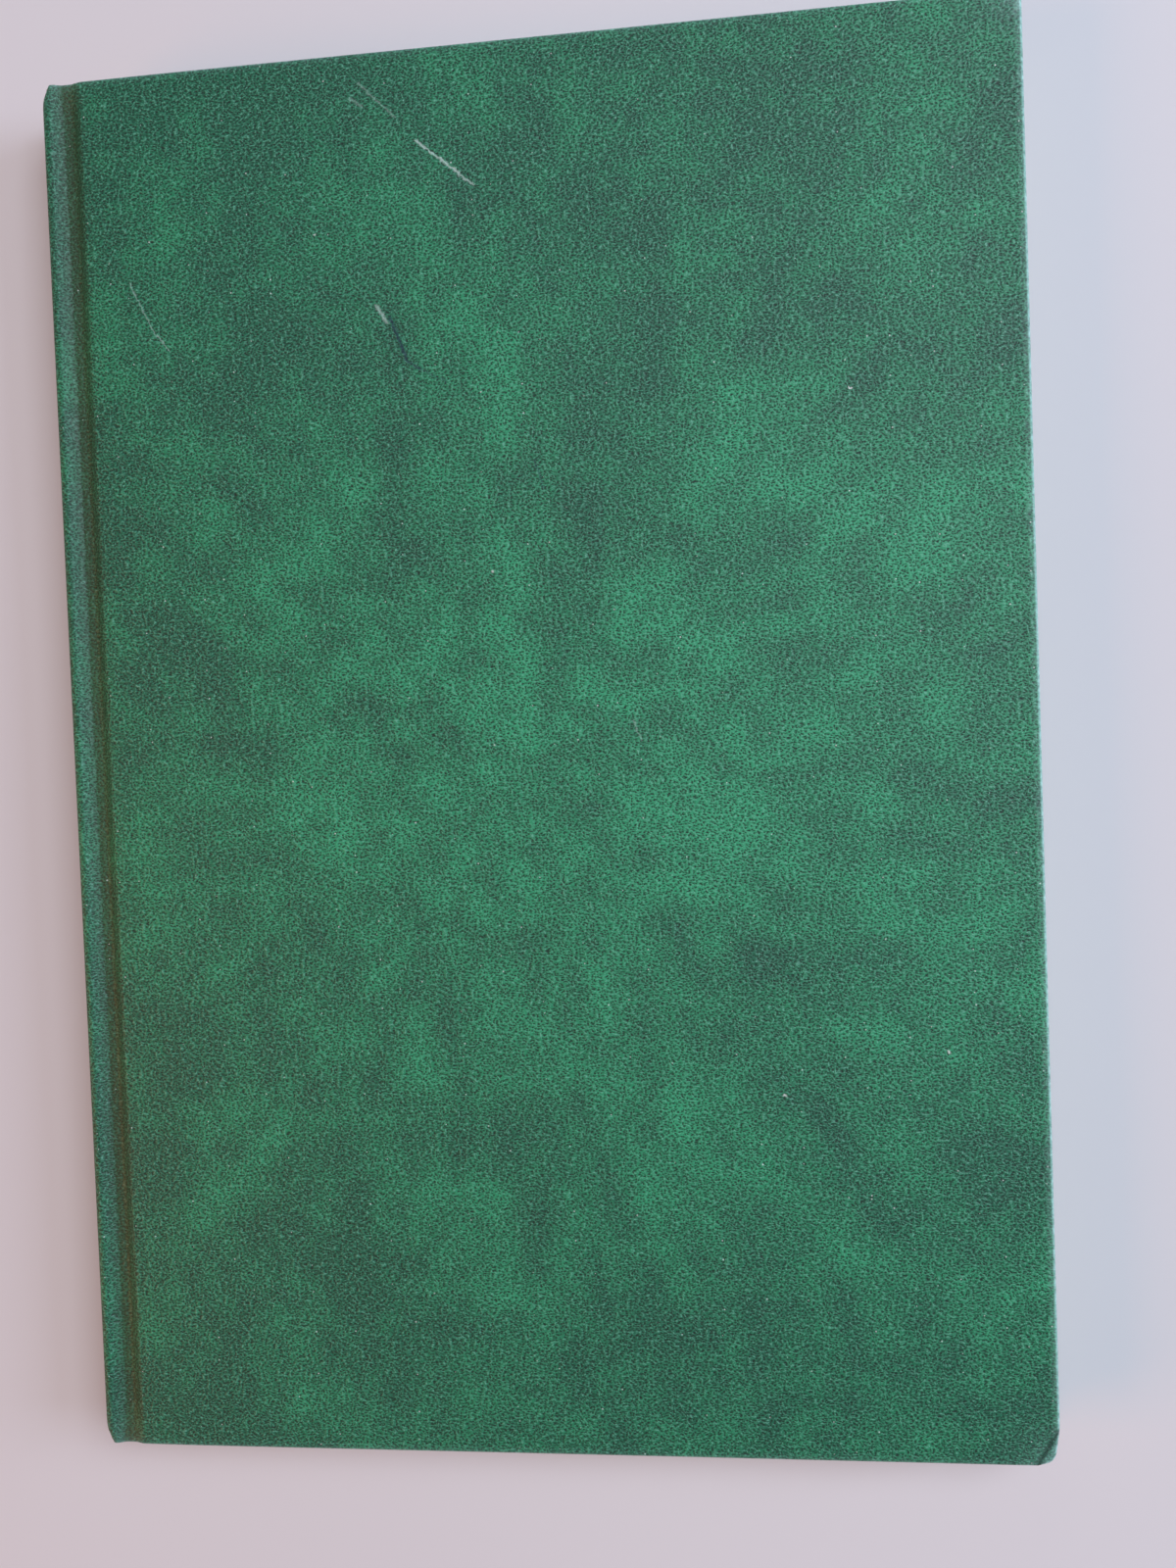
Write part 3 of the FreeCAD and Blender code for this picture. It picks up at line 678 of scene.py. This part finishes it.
greyboard = fibrous("pressed_greyboard", "#77746c", "#9b978d", 0.8, (3, 3, 1), 0.92, 0.06)


# %% The front board
def board_rim(low, high, radius):
    """Points once round a board seen from above, anticlockwise from its tail corner at the spine.
    The two fore corners are quarter circles, and runs near the knocked corner are finely cut."""
    swing = np.linspace(0, math.pi / 2, 9)
    sine, cosine = radius * np.sin(swing), radius * np.cos(swing)
    centre_x = high[0] - radius
    tail = np.stack([centre_x + sine, low[1] + radius - cosine], axis=1)
    head = np.stack([centre_x + cosine, high[1] - radius + sine], axis=1)
    dense = 1 - np.linspace(1, 0, 40)[:, None] ** 2
    tail_run = np.array([low[0], low[1]]) + (tail[0] - [low[0], low[1]]) * dense[:-1]
    fore_run = tail[-1] + (head[0] - tail[-1]) * (1 - dense[::-1])[1:-1]
    back_run = np.array([(low[0], high[1])])
    return np.concatenate([tail_run, tail, fore_run, head, back_run])


rim = board_rim(board_low, board_high, CORNER - CLOTH)
middle = np.array([(board_low[0] + board_high[0]) / 2, 0.0])
growth = np.array([0.0, 0.3, 0.6, 0.8, 0.9, 0.94, 0.97, 0.985, 1.0])
depths = np.concatenate([np.zeros(9), [0.35, 0.65], np.ones(9)])
scale = np.concatenate([growth, [1.0, 1.0], growth[::-1]])
ring_x = middle[0] + (rim[None, :, 0] - middle[0]) * scale[:, None]
ring_y = rim[None, :, 1] * scale[:, None]
ring_z = (board_high[2] - (board_high[2] - board_low[2]) * depths)[:, None] + 0 * ring_x
board_mesh = grid_mesh(
    "front_greyboard", np.stack(bumped(ring_x, ring_y, ring_z), axis=-1), around=True, weld=0.001
)
board_mesh.set_sharp_from_angle(angle=math.radians(50))
board = piece("front_greyboard", board_mesh, [greyboard])
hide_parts("front_board")
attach(board, "front_cover")

# %% [markdown]
# ## Papers
# Four papers are inside. The endpapers are stout and smooth, the log leaves are ruled ledger
# paper, the block's edges are the cut ends of some two hundred pages, and brown kraft lines the
# back of the block. Paper is felted fibre: matt, faintly clouded, with hardly any relief. The
# leaf's own flat place drives the ruling, so it turns with the leaf.

# %% Endpaper
CLOUD_SIZE = 9.0        # millimetres
FIBRE_SIZE = 0.4
FLECKS = 0.05           # how much single fibres show in the clouds of the paper


def paper(name, light, shade_code, source="UV"):
    """A smooth uncoated paper: cloudy fibre in two near tones, with a very slight tooth. source
    says what gives the place of a point: its flat place, "UV", or its place in the solid block.
    Returns the material, its tree, the shader, the place in millimetres and the colour."""
    material, own, shader = new_material(name, Roughness=0.82, IOR=1.47)
    if source == "UV":
        place = add(own, "UVMap", uv_map="cut").outputs[0]
    else:
        place = add(own, "TexCoord").outputs["Object"]
    mm = add(own, "VectorMath", {0: place, "Scale": 1 / MM}, operation="SCALE")
    cloudy = add(own, "TexNoise", {"Vector": mm, "Scale": 1 / CLOUD_SIZE, "Detail": 6.0, "Roughness": 0.65})
    fibre = add(own, "TexNoise", {"Vector": mm, "Scale": 1 / FIBRE_SIZE, "Detail": 3.0})
    mixed = add(own, "Math", {0: fibre, 1: FLECKS, 2: cloudy}, operation="MULTIPLY_ADD")
    colour = add(own, "ValToRGB", {0: mixed}, stops=[(0.38, shade_code), (0.66, light)])
    tooth = add(own, "Bump", {"Height": fibre, "Distance": 0.01 * MM, "Strength": 0.6})
    own.links.new(colour.outputs[0], shader.inputs["Base Color"])
    own.links.new(tooth.outputs[0], shader.inputs["Normal"])
    return material, own, shader, mm, colour


endpaper_stock = paper("uncoated_endpaper", "#f3ecdc", "#e9e0cc")[0]


# %% Ruled ledger paper
RULE_PITCH = 7.0        # millimetres between the rules
COLUMN_PITCH = 13.5
RULE_WIDTH = 0.22
HEADING = 116.0         # the rules stop here, and the box for the columns' headings begins
TOP_RULE = 130.0        # the thick rule over the headings' box
FOOT = -132.0
MARGIN_MIDDLE = 4.0     # the ruled width is MARGIN_REACH to each side of this place across the leaf
MARGIN_REACH = 85.5
DOUBLE_RULE = 41.2      # the red double rule, and how far each of its lines is from its middle
DOUBLE_GAP = 0.7
TOP_HALF = 0.25         # half the width of the thick rule, and of each line of the double rule
DOUBLE_HALF = 0.14


def ledger(name, source):
    """Ledger paper: grey-blue rules across, columns down, and a red double rule, printed in ink on
    both sides. A rule is where the distance to its nearest multiple is under half a width."""
    material, own, shader, mm, colour = paper(name, "#f2eedf", "#e9e3d0", source)
    parts = add(own, "SeparateXYZ", {0: mm}).outputs

    to_rule = add(own, "Math", {0: parts[1], 1: RULE_PITCH / 2}, operation="PINGPONG")
    rules = add(own, "Math", {0: to_rule, 1: RULE_WIDTH / 2}, operation="LESS_THAN")
    to_column = add(own, "Math", {0: parts[0], 1: COLUMN_PITCH / 2}, operation="PINGPONG")
    columns = add(own, "Math", {0: to_column, 1: RULE_WIDTH / 2}, operation="LESS_THAN")
    under_heading = add(own, "Math", {0: parts[1], 1: HEADING}, operation="LESS_THAN")
    under_top = add(own, "Math", {0: parts[1], 1: TOP_RULE}, operation="LESS_THAN")
    over_foot = add(own, "Math", {0: parts[1], 1: FOOT}, operation="GREATER_THAN")
    top_rule = add(own, "Math", {0: parts[1], 1: TOP_RULE, 2: TOP_HALF}, operation="COMPARE")
    across = add(own, "Math", {0: parts[0], 1: MARGIN_MIDDLE, 2: MARGIN_REACH}, operation="COMPARE")
    off_total = add(own, "Math", {0: parts[0], 1: DOUBLE_RULE}, operation="SUBTRACT")
    off_total = add(own, "Math", {0: off_total}, operation="ABSOLUTE")
    double_rule = add(own, "Math", {0: off_total, 1: DOUBLE_GAP, 2: DOUBLE_HALF}, operation="COMPARE")
    rules = add(own, "Math", {0: rules, 1: under_heading}, operation="MULTIPLY")
    columns = add(own, "Math", {0: columns, 1: under_top}, operation="MULTIPLY")
    grid = add(own, "Math", {0: rules, 1: columns}, operation="MAXIMUM")
    grid = add(own, "Math", {0: grid, 1: top_rule}, operation="MAXIMUM")
    grid = add(own, "Math", {0: grid, 1: over_foot}, operation="MULTIPLY")
    grid = add(own, "Math", {0: grid, 1: across}, operation="MULTIPLY")
    grid = add(own, "Math", {0: grid, 1: 0.7}, operation="MULTIPLY")
    total = add(own, "Math", {0: double_rule, 1: under_top}, operation="MULTIPLY")
    total = add(own, "Math", {0: total, 1: over_foot}, operation="MULTIPLY")
    total = add(own, "Math", {0: total, 1: 0.8}, operation="MULTIPLY")
    ruled = add(own, "MixRGB", {0: grid, 1: colour, 2: paint("#7f98ac")})
    printed = add(own, "MixRGB", {0: total, 1: ruled, 2: paint("#b4574f")})
    own.links.new(printed.outputs[0], shader.inputs["Base Color"])
    return material


turning_ledger = ledger("ruled_ledger_paper_leaf", "UV")
block_ledger = ledger("ruled_ledger_paper_block", "Object")

# %% Cut edges of the pages
edge_paper, own, shader = new_material("guillotined_page_edges", Roughness=0.88, IOR=1.47)
place = add(own, "TexCoord").outputs["Object"]
streaks = add(own, "Mapping", {"Vector": place, "Scale": (25.0, 25.0, 1 / (0.22 * MM))})
leaf_lines = add(own, "TexNoise", {"Vector": streaks, "Scale": 1.0, "Detail": 3.0, "Roughness": 0.6})
edge_tones = add(own, "ValToRGB", {0: leaf_lines},
                 stops=[(0.34, "#b9ab8d"), (0.48, "#ded4bb"), (0.66, "#efe8d5")])
own.links.new(edge_tones.outputs[0], shader.inputs["Base Color"])
lines = add(own, "Bump", {"Height": leaf_lines, "Distance": 0.05 * MM, "Strength": 0.8})
own.links.new(lines.outputs[0], shader.inputs["Normal"])


# %% [markdown]
# ## Endpapers
# Each endpaper is one folded sheet. Half of it is the pastedown, glued over the turned-in
# leatherette and the mull, so their edges show through as a low step. It then runs across the
# joint, where it is rubbed down into the groove, to the spine edge of the block. It bends with
# the cover, and is made here as one sheet.

# %% Sheets carried from tail to head
def sheet_mesh(name, line_x, line_z, half_length, columns, relief=None):
    """A sheet whose end view is the line (line_x, line_z), carried along Y from -half_length to
    half_length. relief(x, y), if given, is added to its height. The flat place of a point is its
    own x while the line is level, and its run along the line elsewhere."""
    y = np.linspace(-half_length, half_length, columns)[None, :]
    x = line_x[:, None] + 0 * y
    z = line_z[:, None] + 0 * y
    if relief is not None:
        z = z + relief(x, y)
    run = np.concatenate([[0.0], np.cumsum(np.hypot(np.diff(line_x), np.diff(line_z)))])
    flat_x = (run - run[-1] + line_x[-1])[:, None] + 0 * y
    flat = np.stack([flat_x, y + 0 * x], axis=-1)
    return grid_mesh(name, np.stack([x, y + 0 * x, z], axis=-1), flat=flat)


def mirrored(mesh):
    """Turn a mesh of the front half into the same piece of the back half: z becomes CASE_TOP - z,
    and the faces are turned round to look outward again."""
    mesh.transform(Matrix.Translation((0, 0, CASE_TOP * MM)) @ Matrix.Diagonal((1, 1, -1, 1)))
    mesh.flip_normals()


ENDPAPER = 0.19         # thickness
pastedown_low, pastedown_high = faces("front_pastedown")
mull_low, mull_high = faces("front_mull_flange")
joint_low, joint_high = faces("front_endpaper_joint")
STEP = 0.3              # the turned-in leatherette under the paper
SOFT = 1.6              # how softly paper goes over an edge


def endpaper_step(x, y):
    """The paper sinks by STEP towards the board inside the frame of turned-in leatherette and the
    mull: one soft step 3 t^2 - 2 t^3, where t is the least distance to that frame over SOFT."""
    inset_x = np.minimum(x - mull_high[0], FORE_FACE - TURN_IN - x)
    inset_y = HALF_HEIGHT - TURN_IN - np.abs(y)
    t = np.clip(np.minimum(inset_x, inset_y) / SOFT, 0, 1)
    return STEP * t * t * (3 - 2 * t)


INTO_GROOVE = 0.58      # paper and mull rise this far into the groove, where they are glued
RISE_FROM = SPINE_FACE + 2.4
RISE_TO = SPINE_FACE + 9.3


def into_groove(x):
    """How far a sheet glued into the groove rises there: INTO_GROOVE times a soft step up and a
    soft step down, each 3 t^2 - 2 t^3 over 2 mm."""
    t = np.clip(np.minimum(x - RISE_FROM, RISE_TO - x) / 2.0, 0, 1)
    return INTO_GROOVE * t * t * (3 - 2 * t)


joint_level = (joint_low[2] + joint_high[2]) / 2
paste_level = pastedown_low[2] + 0.1
paste_x = np.concatenate([
    np.arange(BLOCK_BACK + 0.3, SPINE_FACE + 12.0, 0.35),
    np.arange(SPINE_FACE + 12.0, mull_high[0] - 1, 4.0),
    np.arange(mull_high[0] - 1, mull_high[0] + 3, 0.5),
    np.arange(mull_high[0] + 3, FORE_FACE - TURN_IN - 3, 5.0),
    np.arange(FORE_FACE - TURN_IN - 3, FORE_FACE - TURN_IN + 1, 0.5),
    np.linspace(FORE_FACE - TURN_IN + 1, pastedown_high[0], 5),
])
rise = np.clip((paste_x - (SPINE_FACE + 8.0)) / 2.0, 0, 1)
paste_z = joint_level + (paste_level - joint_level) * rise * rise * (3 - 2 * rise)
paste_z = paste_z + into_groove(paste_x)
for side, upper in (("front", True), ("back", False)):
    mesh = sheet_mesh(f"{side}_endpaper", paste_x, paste_z, pastedown_high[1], 251, endpaper_step)
    if not upper:
        mirrored(mesh)
    sheet = piece(f"{side}_endpaper", mesh, [endpaper_stock], thickness=ENDPAPER)
    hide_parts(f"{side}_pastedown", f"{side}_endpaper_joint")
    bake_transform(sheet)

# %% [markdown]
# ## Mull
# Mull is stiffened open cotton gauze glued over the back of the sewn block. Its flanges go under
# the pastedowns, and it is what really holds the cover on. Like the covering, it is two sheets
# that meet at the middle of the spine. Its threads are drawn 1.3 mm apart, a little coarser than
# real mull, so that they still show.

# %% Mull's weave
MESH_PITCH = 1.3
ONE_BAND = 0.314        # a band texture of this scale repeats once in each unit
gauze, own, shader = new_material("stiffened_cotton_mull", Roughness=0.9, IOR=1.5)
place = add(own, "UVMap", uv_map="cut")
mm = add(own, "VectorMath", {0: place, "Scale": 1 / MM}, operation="SCALE")
threads = []
for direction in ("X", "Y"):
    wave = add(own, "TexWave", {"Vector": mm, "Scale": ONE_BAND / MESH_PITCH, "Distortion": 0.4},
               wave_type="BANDS", bands_direction=direction)
    threads.append(wave.outputs["Fac"])
weave = add(own, "Math", {0: threads[0], 1: threads[1]}, operation="MAXIMUM")
cotton = add(own, "ValToRGB", {0: weave}, stops=[(0.35, "#a89c80"), (0.75, "#eee6d2")])
own.links.new(cotton.outputs[0], shader.inputs["Base Color"])
woven = add(own, "Bump", {"Height": weave, "Distance": 0.12 * MM, "Strength": 0.9})
own.links.new(woven.outputs[0], shader.inputs["Normal"])

# %% Mull's two halves
MULL = 0.18             # thickness
back_low, back_high = faces("mull")
mull_line, _ = rounded_line(
    [
        (back_low[0] + MULL / 2, CASE_TOP / 2),
        (back_low[0] + MULL / 2, back_high[2] - MULL / 2),
        (SPINE_FACE + 7.6, back_high[2] - MULL / 2),
        (SPINE_FACE + 9.6, mull_low[2] + 0.11),
        (mull_high[0], mull_low[2] + 0.11),
    ],
    [0.5, 0.3, 0.3],
    0.45,
)
mull_line[:, 1] += into_groove(mull_line[:, 0])
for side, upper in (("front", True), ("back", False)):
    mesh = sheet_mesh(f"{side}_mull", mull_line[:, 0], mull_line[:, 1], mull_high[1], 121)
    if not upper:
        mirrored(mesh)
    gauze_half = piece(f"{side}_mull", mesh, [gauze], thickness=MULL)
    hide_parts("mull", f"{side}_mull_flange")
    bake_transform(gauze_half)
    reach = np.sum(np.hypot(*np.diff(mull_line, axis=0).T))

# %% [markdown]
# ## Leaves that turn
# The flyleaves and the first two log leaves turn with their cover, each by its own share. A leaf
# is sewn into the block at its back edge, stands up in the gutter when it is turned, and folds
# over from there, so the frame moves it as two bodies. Each leaf is made here as two flat sheets
# that meet half way up the gutter, finely cut where a turned leaf bends: the inner one at the
# sewing, the outer one where the leaf falls over.

# %% Leaves
LEAF = 0.15             # thickness
SEWN = {"front": "front_leaves_sewn_edge", "back": "back_flyleaf_sewn_edge"}
LEAVES = {
    "front_flyleaf": "front",
    "log_leaf_1": "front",
    "log_leaf_2": "front",
    "back_flyleaf": "back",
}
for leaf, side in LEAVES.items():
    strip_low, strip_high = faces(f"{leaf}_gutter")
    leaf_low, leaf_high = faces(leaf)
    hinge = strip_low[0] - 0.1
    bend = (strip_high[0] + leaf_low[0]) / 2
    middle = (hinge + bend) / 2
    level = (leaf_low[2] + leaf_high[2]) / 2
    stock = endpaper_stock if "flyleaf" in leaf else turning_ledger
    finish = "endpaper" if "flyleaf" in leaf else "log_paper"
    inner_x = np.concatenate([[BLOCK_BACK], np.arange(hinge - 2.2, middle, 0.3), [middle]])
    outer_x = np.arange(middle, bend + 4.4, 0.3)
    outer_x = np.concatenate([outer_x, np.linspace(bend + 4.6, BLOCK_FORE, 60)])
    mesh = sheet_mesh(f"{leaf}_inner", inner_x, np.full(len(inner_x), level), BLOCK_HEAD, 61)
    inner = piece(f"{leaf}_inner", mesh, [stock], LEAF)
    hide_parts(f"{leaf}_gutter", SEWN[side])
    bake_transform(inner)
    mesh = sheet_mesh(f"{leaf}_outer", outer_x, np.full(len(outer_x), level), BLOCK_HEAD, 61)
    outer = piece(f"{leaf}_outer", mesh, [stock], LEAF)
    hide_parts(leaf)
    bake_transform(outer)

# %% [markdown]
# ## The sewn block
# Each signature is a stack of folded sheets. Its back is the fold, which is rounded, and its
# other three sides were trimmed together, so they are flat but for the fine lines of the leaves.
# A signature is one closed surface: rings that grow from the middle of its top page to its edge,
# go down over twelve leaves, and close on the middle of its bottom page.

# %% Signatures
LEAVES_EACH = 12
TRIM = 0.08             # how far inside its CAD faces a signature's edge is
LEAF_OUT = (0.02, 0.07) # the least and the most that a leaf stands out from there
FOLD_DEPTH = 0.55       # how far the fold's outer leaves are from its back
ON_EDGE = 0.999         # a point past this share of the way out lies on the edge


def outline(back, fore, half_length, count):
    """Points once round a signature seen from above, anticlockwise, about equally spaced."""
    corners = [(fore, -half_length), (fore, half_length), (back, half_length), (back, -half_length)]
    corners = np.array(corners)
    pairs = zip(corners, np.roll(corners, -1, axis=0))
    runs = [a + (b - a) * np.linspace(0, 1, count, endpoint=False)[:, None] for a, b in pairs]
    return np.concatenate(runs)


def signature(name, seed):
    """One signature. A ring's height is a ripple down the edge: each leaf stands out by up to
    0.07 mm at its middle, more or less from leaf to leaf, and the back is a half-round fold."""
    low, high = faces(name)
    draw = np.random.default_rng(seed)
    rim = outline(low[0], high[0], high[1], 44)
    middle_x = (low[0] + high[0]) / 2
    lift_steps = 3 * LEAVES_EACH + 1
    t = np.linspace(0, 1, lift_steps)
    proud = np.repeat(draw.uniform(*LEAF_OUT, LEAVES_EACH), 3)
    bulge = np.append(proud, 0.0) * np.abs(np.sin(t * math.pi * LEAVES_EACH))
    shrink = TRIM - bulge
    fold_in = FOLD_DEPTH * (1 - np.sqrt(np.clip(1 - (2 * t - 1) ** 2, 0, 1)))
    growth = np.array([0.0, 0.35, 0.7, 0.97])
    page = np.ones(len(growth))
    ring_scale = np.concatenate([growth, np.ones(lift_steps), growth[::-1]])
    ring_shrink = np.concatenate([page * TRIM, shrink, page * TRIM])
    ring_fold = np.concatenate([page * 0, fold_in, page * 0])
    z = np.concatenate([page * high[2], high[2] + (low[2] - high[2]) * t, page * low[2]])
    rel = rim - [middle_x, 0.0]
    inward = ring_shrink[:, None]
    x = rel[None, :, 0] * ring_scale[:, None]
    y = rel[None, :, 1] * ring_scale[:, None]
    on_x_edge = np.abs(rel[None, :, 0]) > ON_EDGE * rel[0, 0]
    on_y_edge = np.abs(rel[None, :, 1]) > ON_EDGE * high[1]
    x = x - np.sign(x) * np.minimum(inward, np.abs(x)) * on_x_edge
    y = y - np.sign(y) * np.minimum(inward, np.abs(y)) * on_y_edge
    x = x + ring_fold[:, None] * (rel[None, :, 0] < -ON_EDGE * rel[0, 0])
    points = np.stack([x + middle_x, y, z[:, None] + 0 * x], axis=-1)
    sides = slice(len(growth), len(growth) + lift_steps - 1)
    mesh = grid_mesh(name, points, around=True, weld=0.001, edge_rows=sides)
    mesh.set_sharp_from_angle(angle=math.radians(50))
    return mesh


SIGNATURES = 8
for number in range(1, SIGNATURES + 1):
    node = f"signature_{number}"
    pages = signature(node, 40 + number)
    stack = piece(f"sewn_{node}", pages, [block_ledger, edge_paper])
    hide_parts(node)
    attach(stack, "text_block")

# %% [markdown]
# ## Headbands
# A headband hides the folds at each end of the spine. It is a cord wound with silk in two colours
# and sewn to a cotton skirt that is glued on the back of the block. Its section, a bead with a
# skirt, is carried across the thickness of the block, and the winding raises the bead in ribs.

# %% Wound headband
STRIPE = 1.6
RIB = 0.4
RIB_HEIGHT = 0.07
SKIRT = 0.2             # thickness of the skirt
silk, own, shader = new_material("striped_silk_headband", Roughness=0.5, IOR=1.5, Sheen_Weight=0.3)
place = add(own, "TexCoord").outputs["Object"]
along_z = add(own, "SeparateXYZ", {0: place}).outputs["Z"]
stripes = add(own, "Math", {0: along_z, 1: STRIPE * MM}, operation="PINGPONG")
which = add(own, "Math", {0: stripes, 1: STRIPE / 2 * MM}, operation="GREATER_THAN")
thread_noise = add(own, "TexNoise", {"Vector": place, "Scale": 2500.0})
strands = add(own, "ValToRGB", {0: thread_noise}, stops=[(0.3, "#cfc7ae"), (0.7, "#f0ead8")])
dyed = add(own, "ValToRGB", {0: thread_noise}, stops=[(0.3, "#12402c"), (0.7, "#2a7350")])
wound = add(own, "MixRGB", {0: which, 1: strands, 2: dyed})
own.links.new(wound.outputs[0], shader.inputs["Base Color"])

for node, sign in (("headband", 1), ("tailband", -1)):
    low, high = faces(node)
    centre_x = (low[0] + high[0]) / 2
    radius = (high[0] - low[0]) / 2
    top = high[1] if sign > 0 else -low[1]
    foot = low[1] if sign > 0 else -high[1]
    centre_y = top - radius
    around_bead = np.linspace(math.pi, -math.pi / 2 - 0.45, 26)
    bead_x = centre_x + radius * np.cos(around_bead)
    bead_y = centre_y + radius * np.sin(around_bead)
    section_x = np.concatenate([[low[0]], bead_x, [low[0] + SKIRT, low[0] + SKIRT]])
    section_y = np.concatenate([[foot], bead_y, [centre_y - radius, foot]])
    on_bead = np.concatenate([[0.0], np.ones(26), [0.0, 0.0]])
    z = np.linspace(low[2], high[2], 105)[:, None]
    ribs = RIB_HEIGHT * (np.abs(np.cos(math.pi * z / RIB)) - 1) * on_bead
    swell = 1 + ribs / radius
    x = centre_x + (section_x - centre_x) * np.where(on_bead > 0, swell, 1)
    y = centre_y + (section_y - centre_y) * np.where(on_bead > 0, swell, 1)
    points = np.stack([x, sign * y, z + 0 * x], axis=-1)
    mesh = grid_mesh(node, points, around=True, caps=True, flip=sign < 0)
    band = piece(f"wound_{node}", mesh, [silk])
    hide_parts(node)
    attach(band, "text_block")

# %% [markdown]
# ## Hidden stiff pieces
# The back board, the spine strip, the kraft lining, the tapes and the thread are hidden in the
# closed book. They have the right shape in the CAD model already, and only get their materials.

# %% Materials for the CAD pieces
CARRIED = {
    # material: (tones, fibre size in mm, stretch, roughness, relief in mm, nodes)
    "spine_card": (("#8b877c", "#aca798"), 0.7, (1, 4, 1), 0.9, 0.04, ["spine_inlay_strip"]),
    "brown_kraft_paper": (("#8a6541", "#ab8259"), 0.5, (1, 6, 1), 0.85, 0.03, ["kraft_spine_lining"]),
    "woven_linen_tape": (
        ("#cbbf9f", "#ece3c9"), 0.35, (1, 1, 6), 0.9, 0.05, ["tape_1", "tape_2", "tape_3"],
    ),
    "waxed_linen_thread": (("#c9bf9f", "#efe7cf"), 0.25, (1, 2, 1), 0.7, 0.05, ["sewing_thread"]),
}
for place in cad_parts["back_board"].material_slots:
    place.material = greyboard
for name, (tones, size, stretch, rough, depth, nodes) in CARRIED.items():
    finish = fibrous(name, *tones, size, stretch, rough, depth)
    for node in nodes:
        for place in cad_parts[node].material_slots:
            place.material = finish
print("carried over", sum(len(facts[-1]) for facts in CARRIED.values()), "CAD pieces")
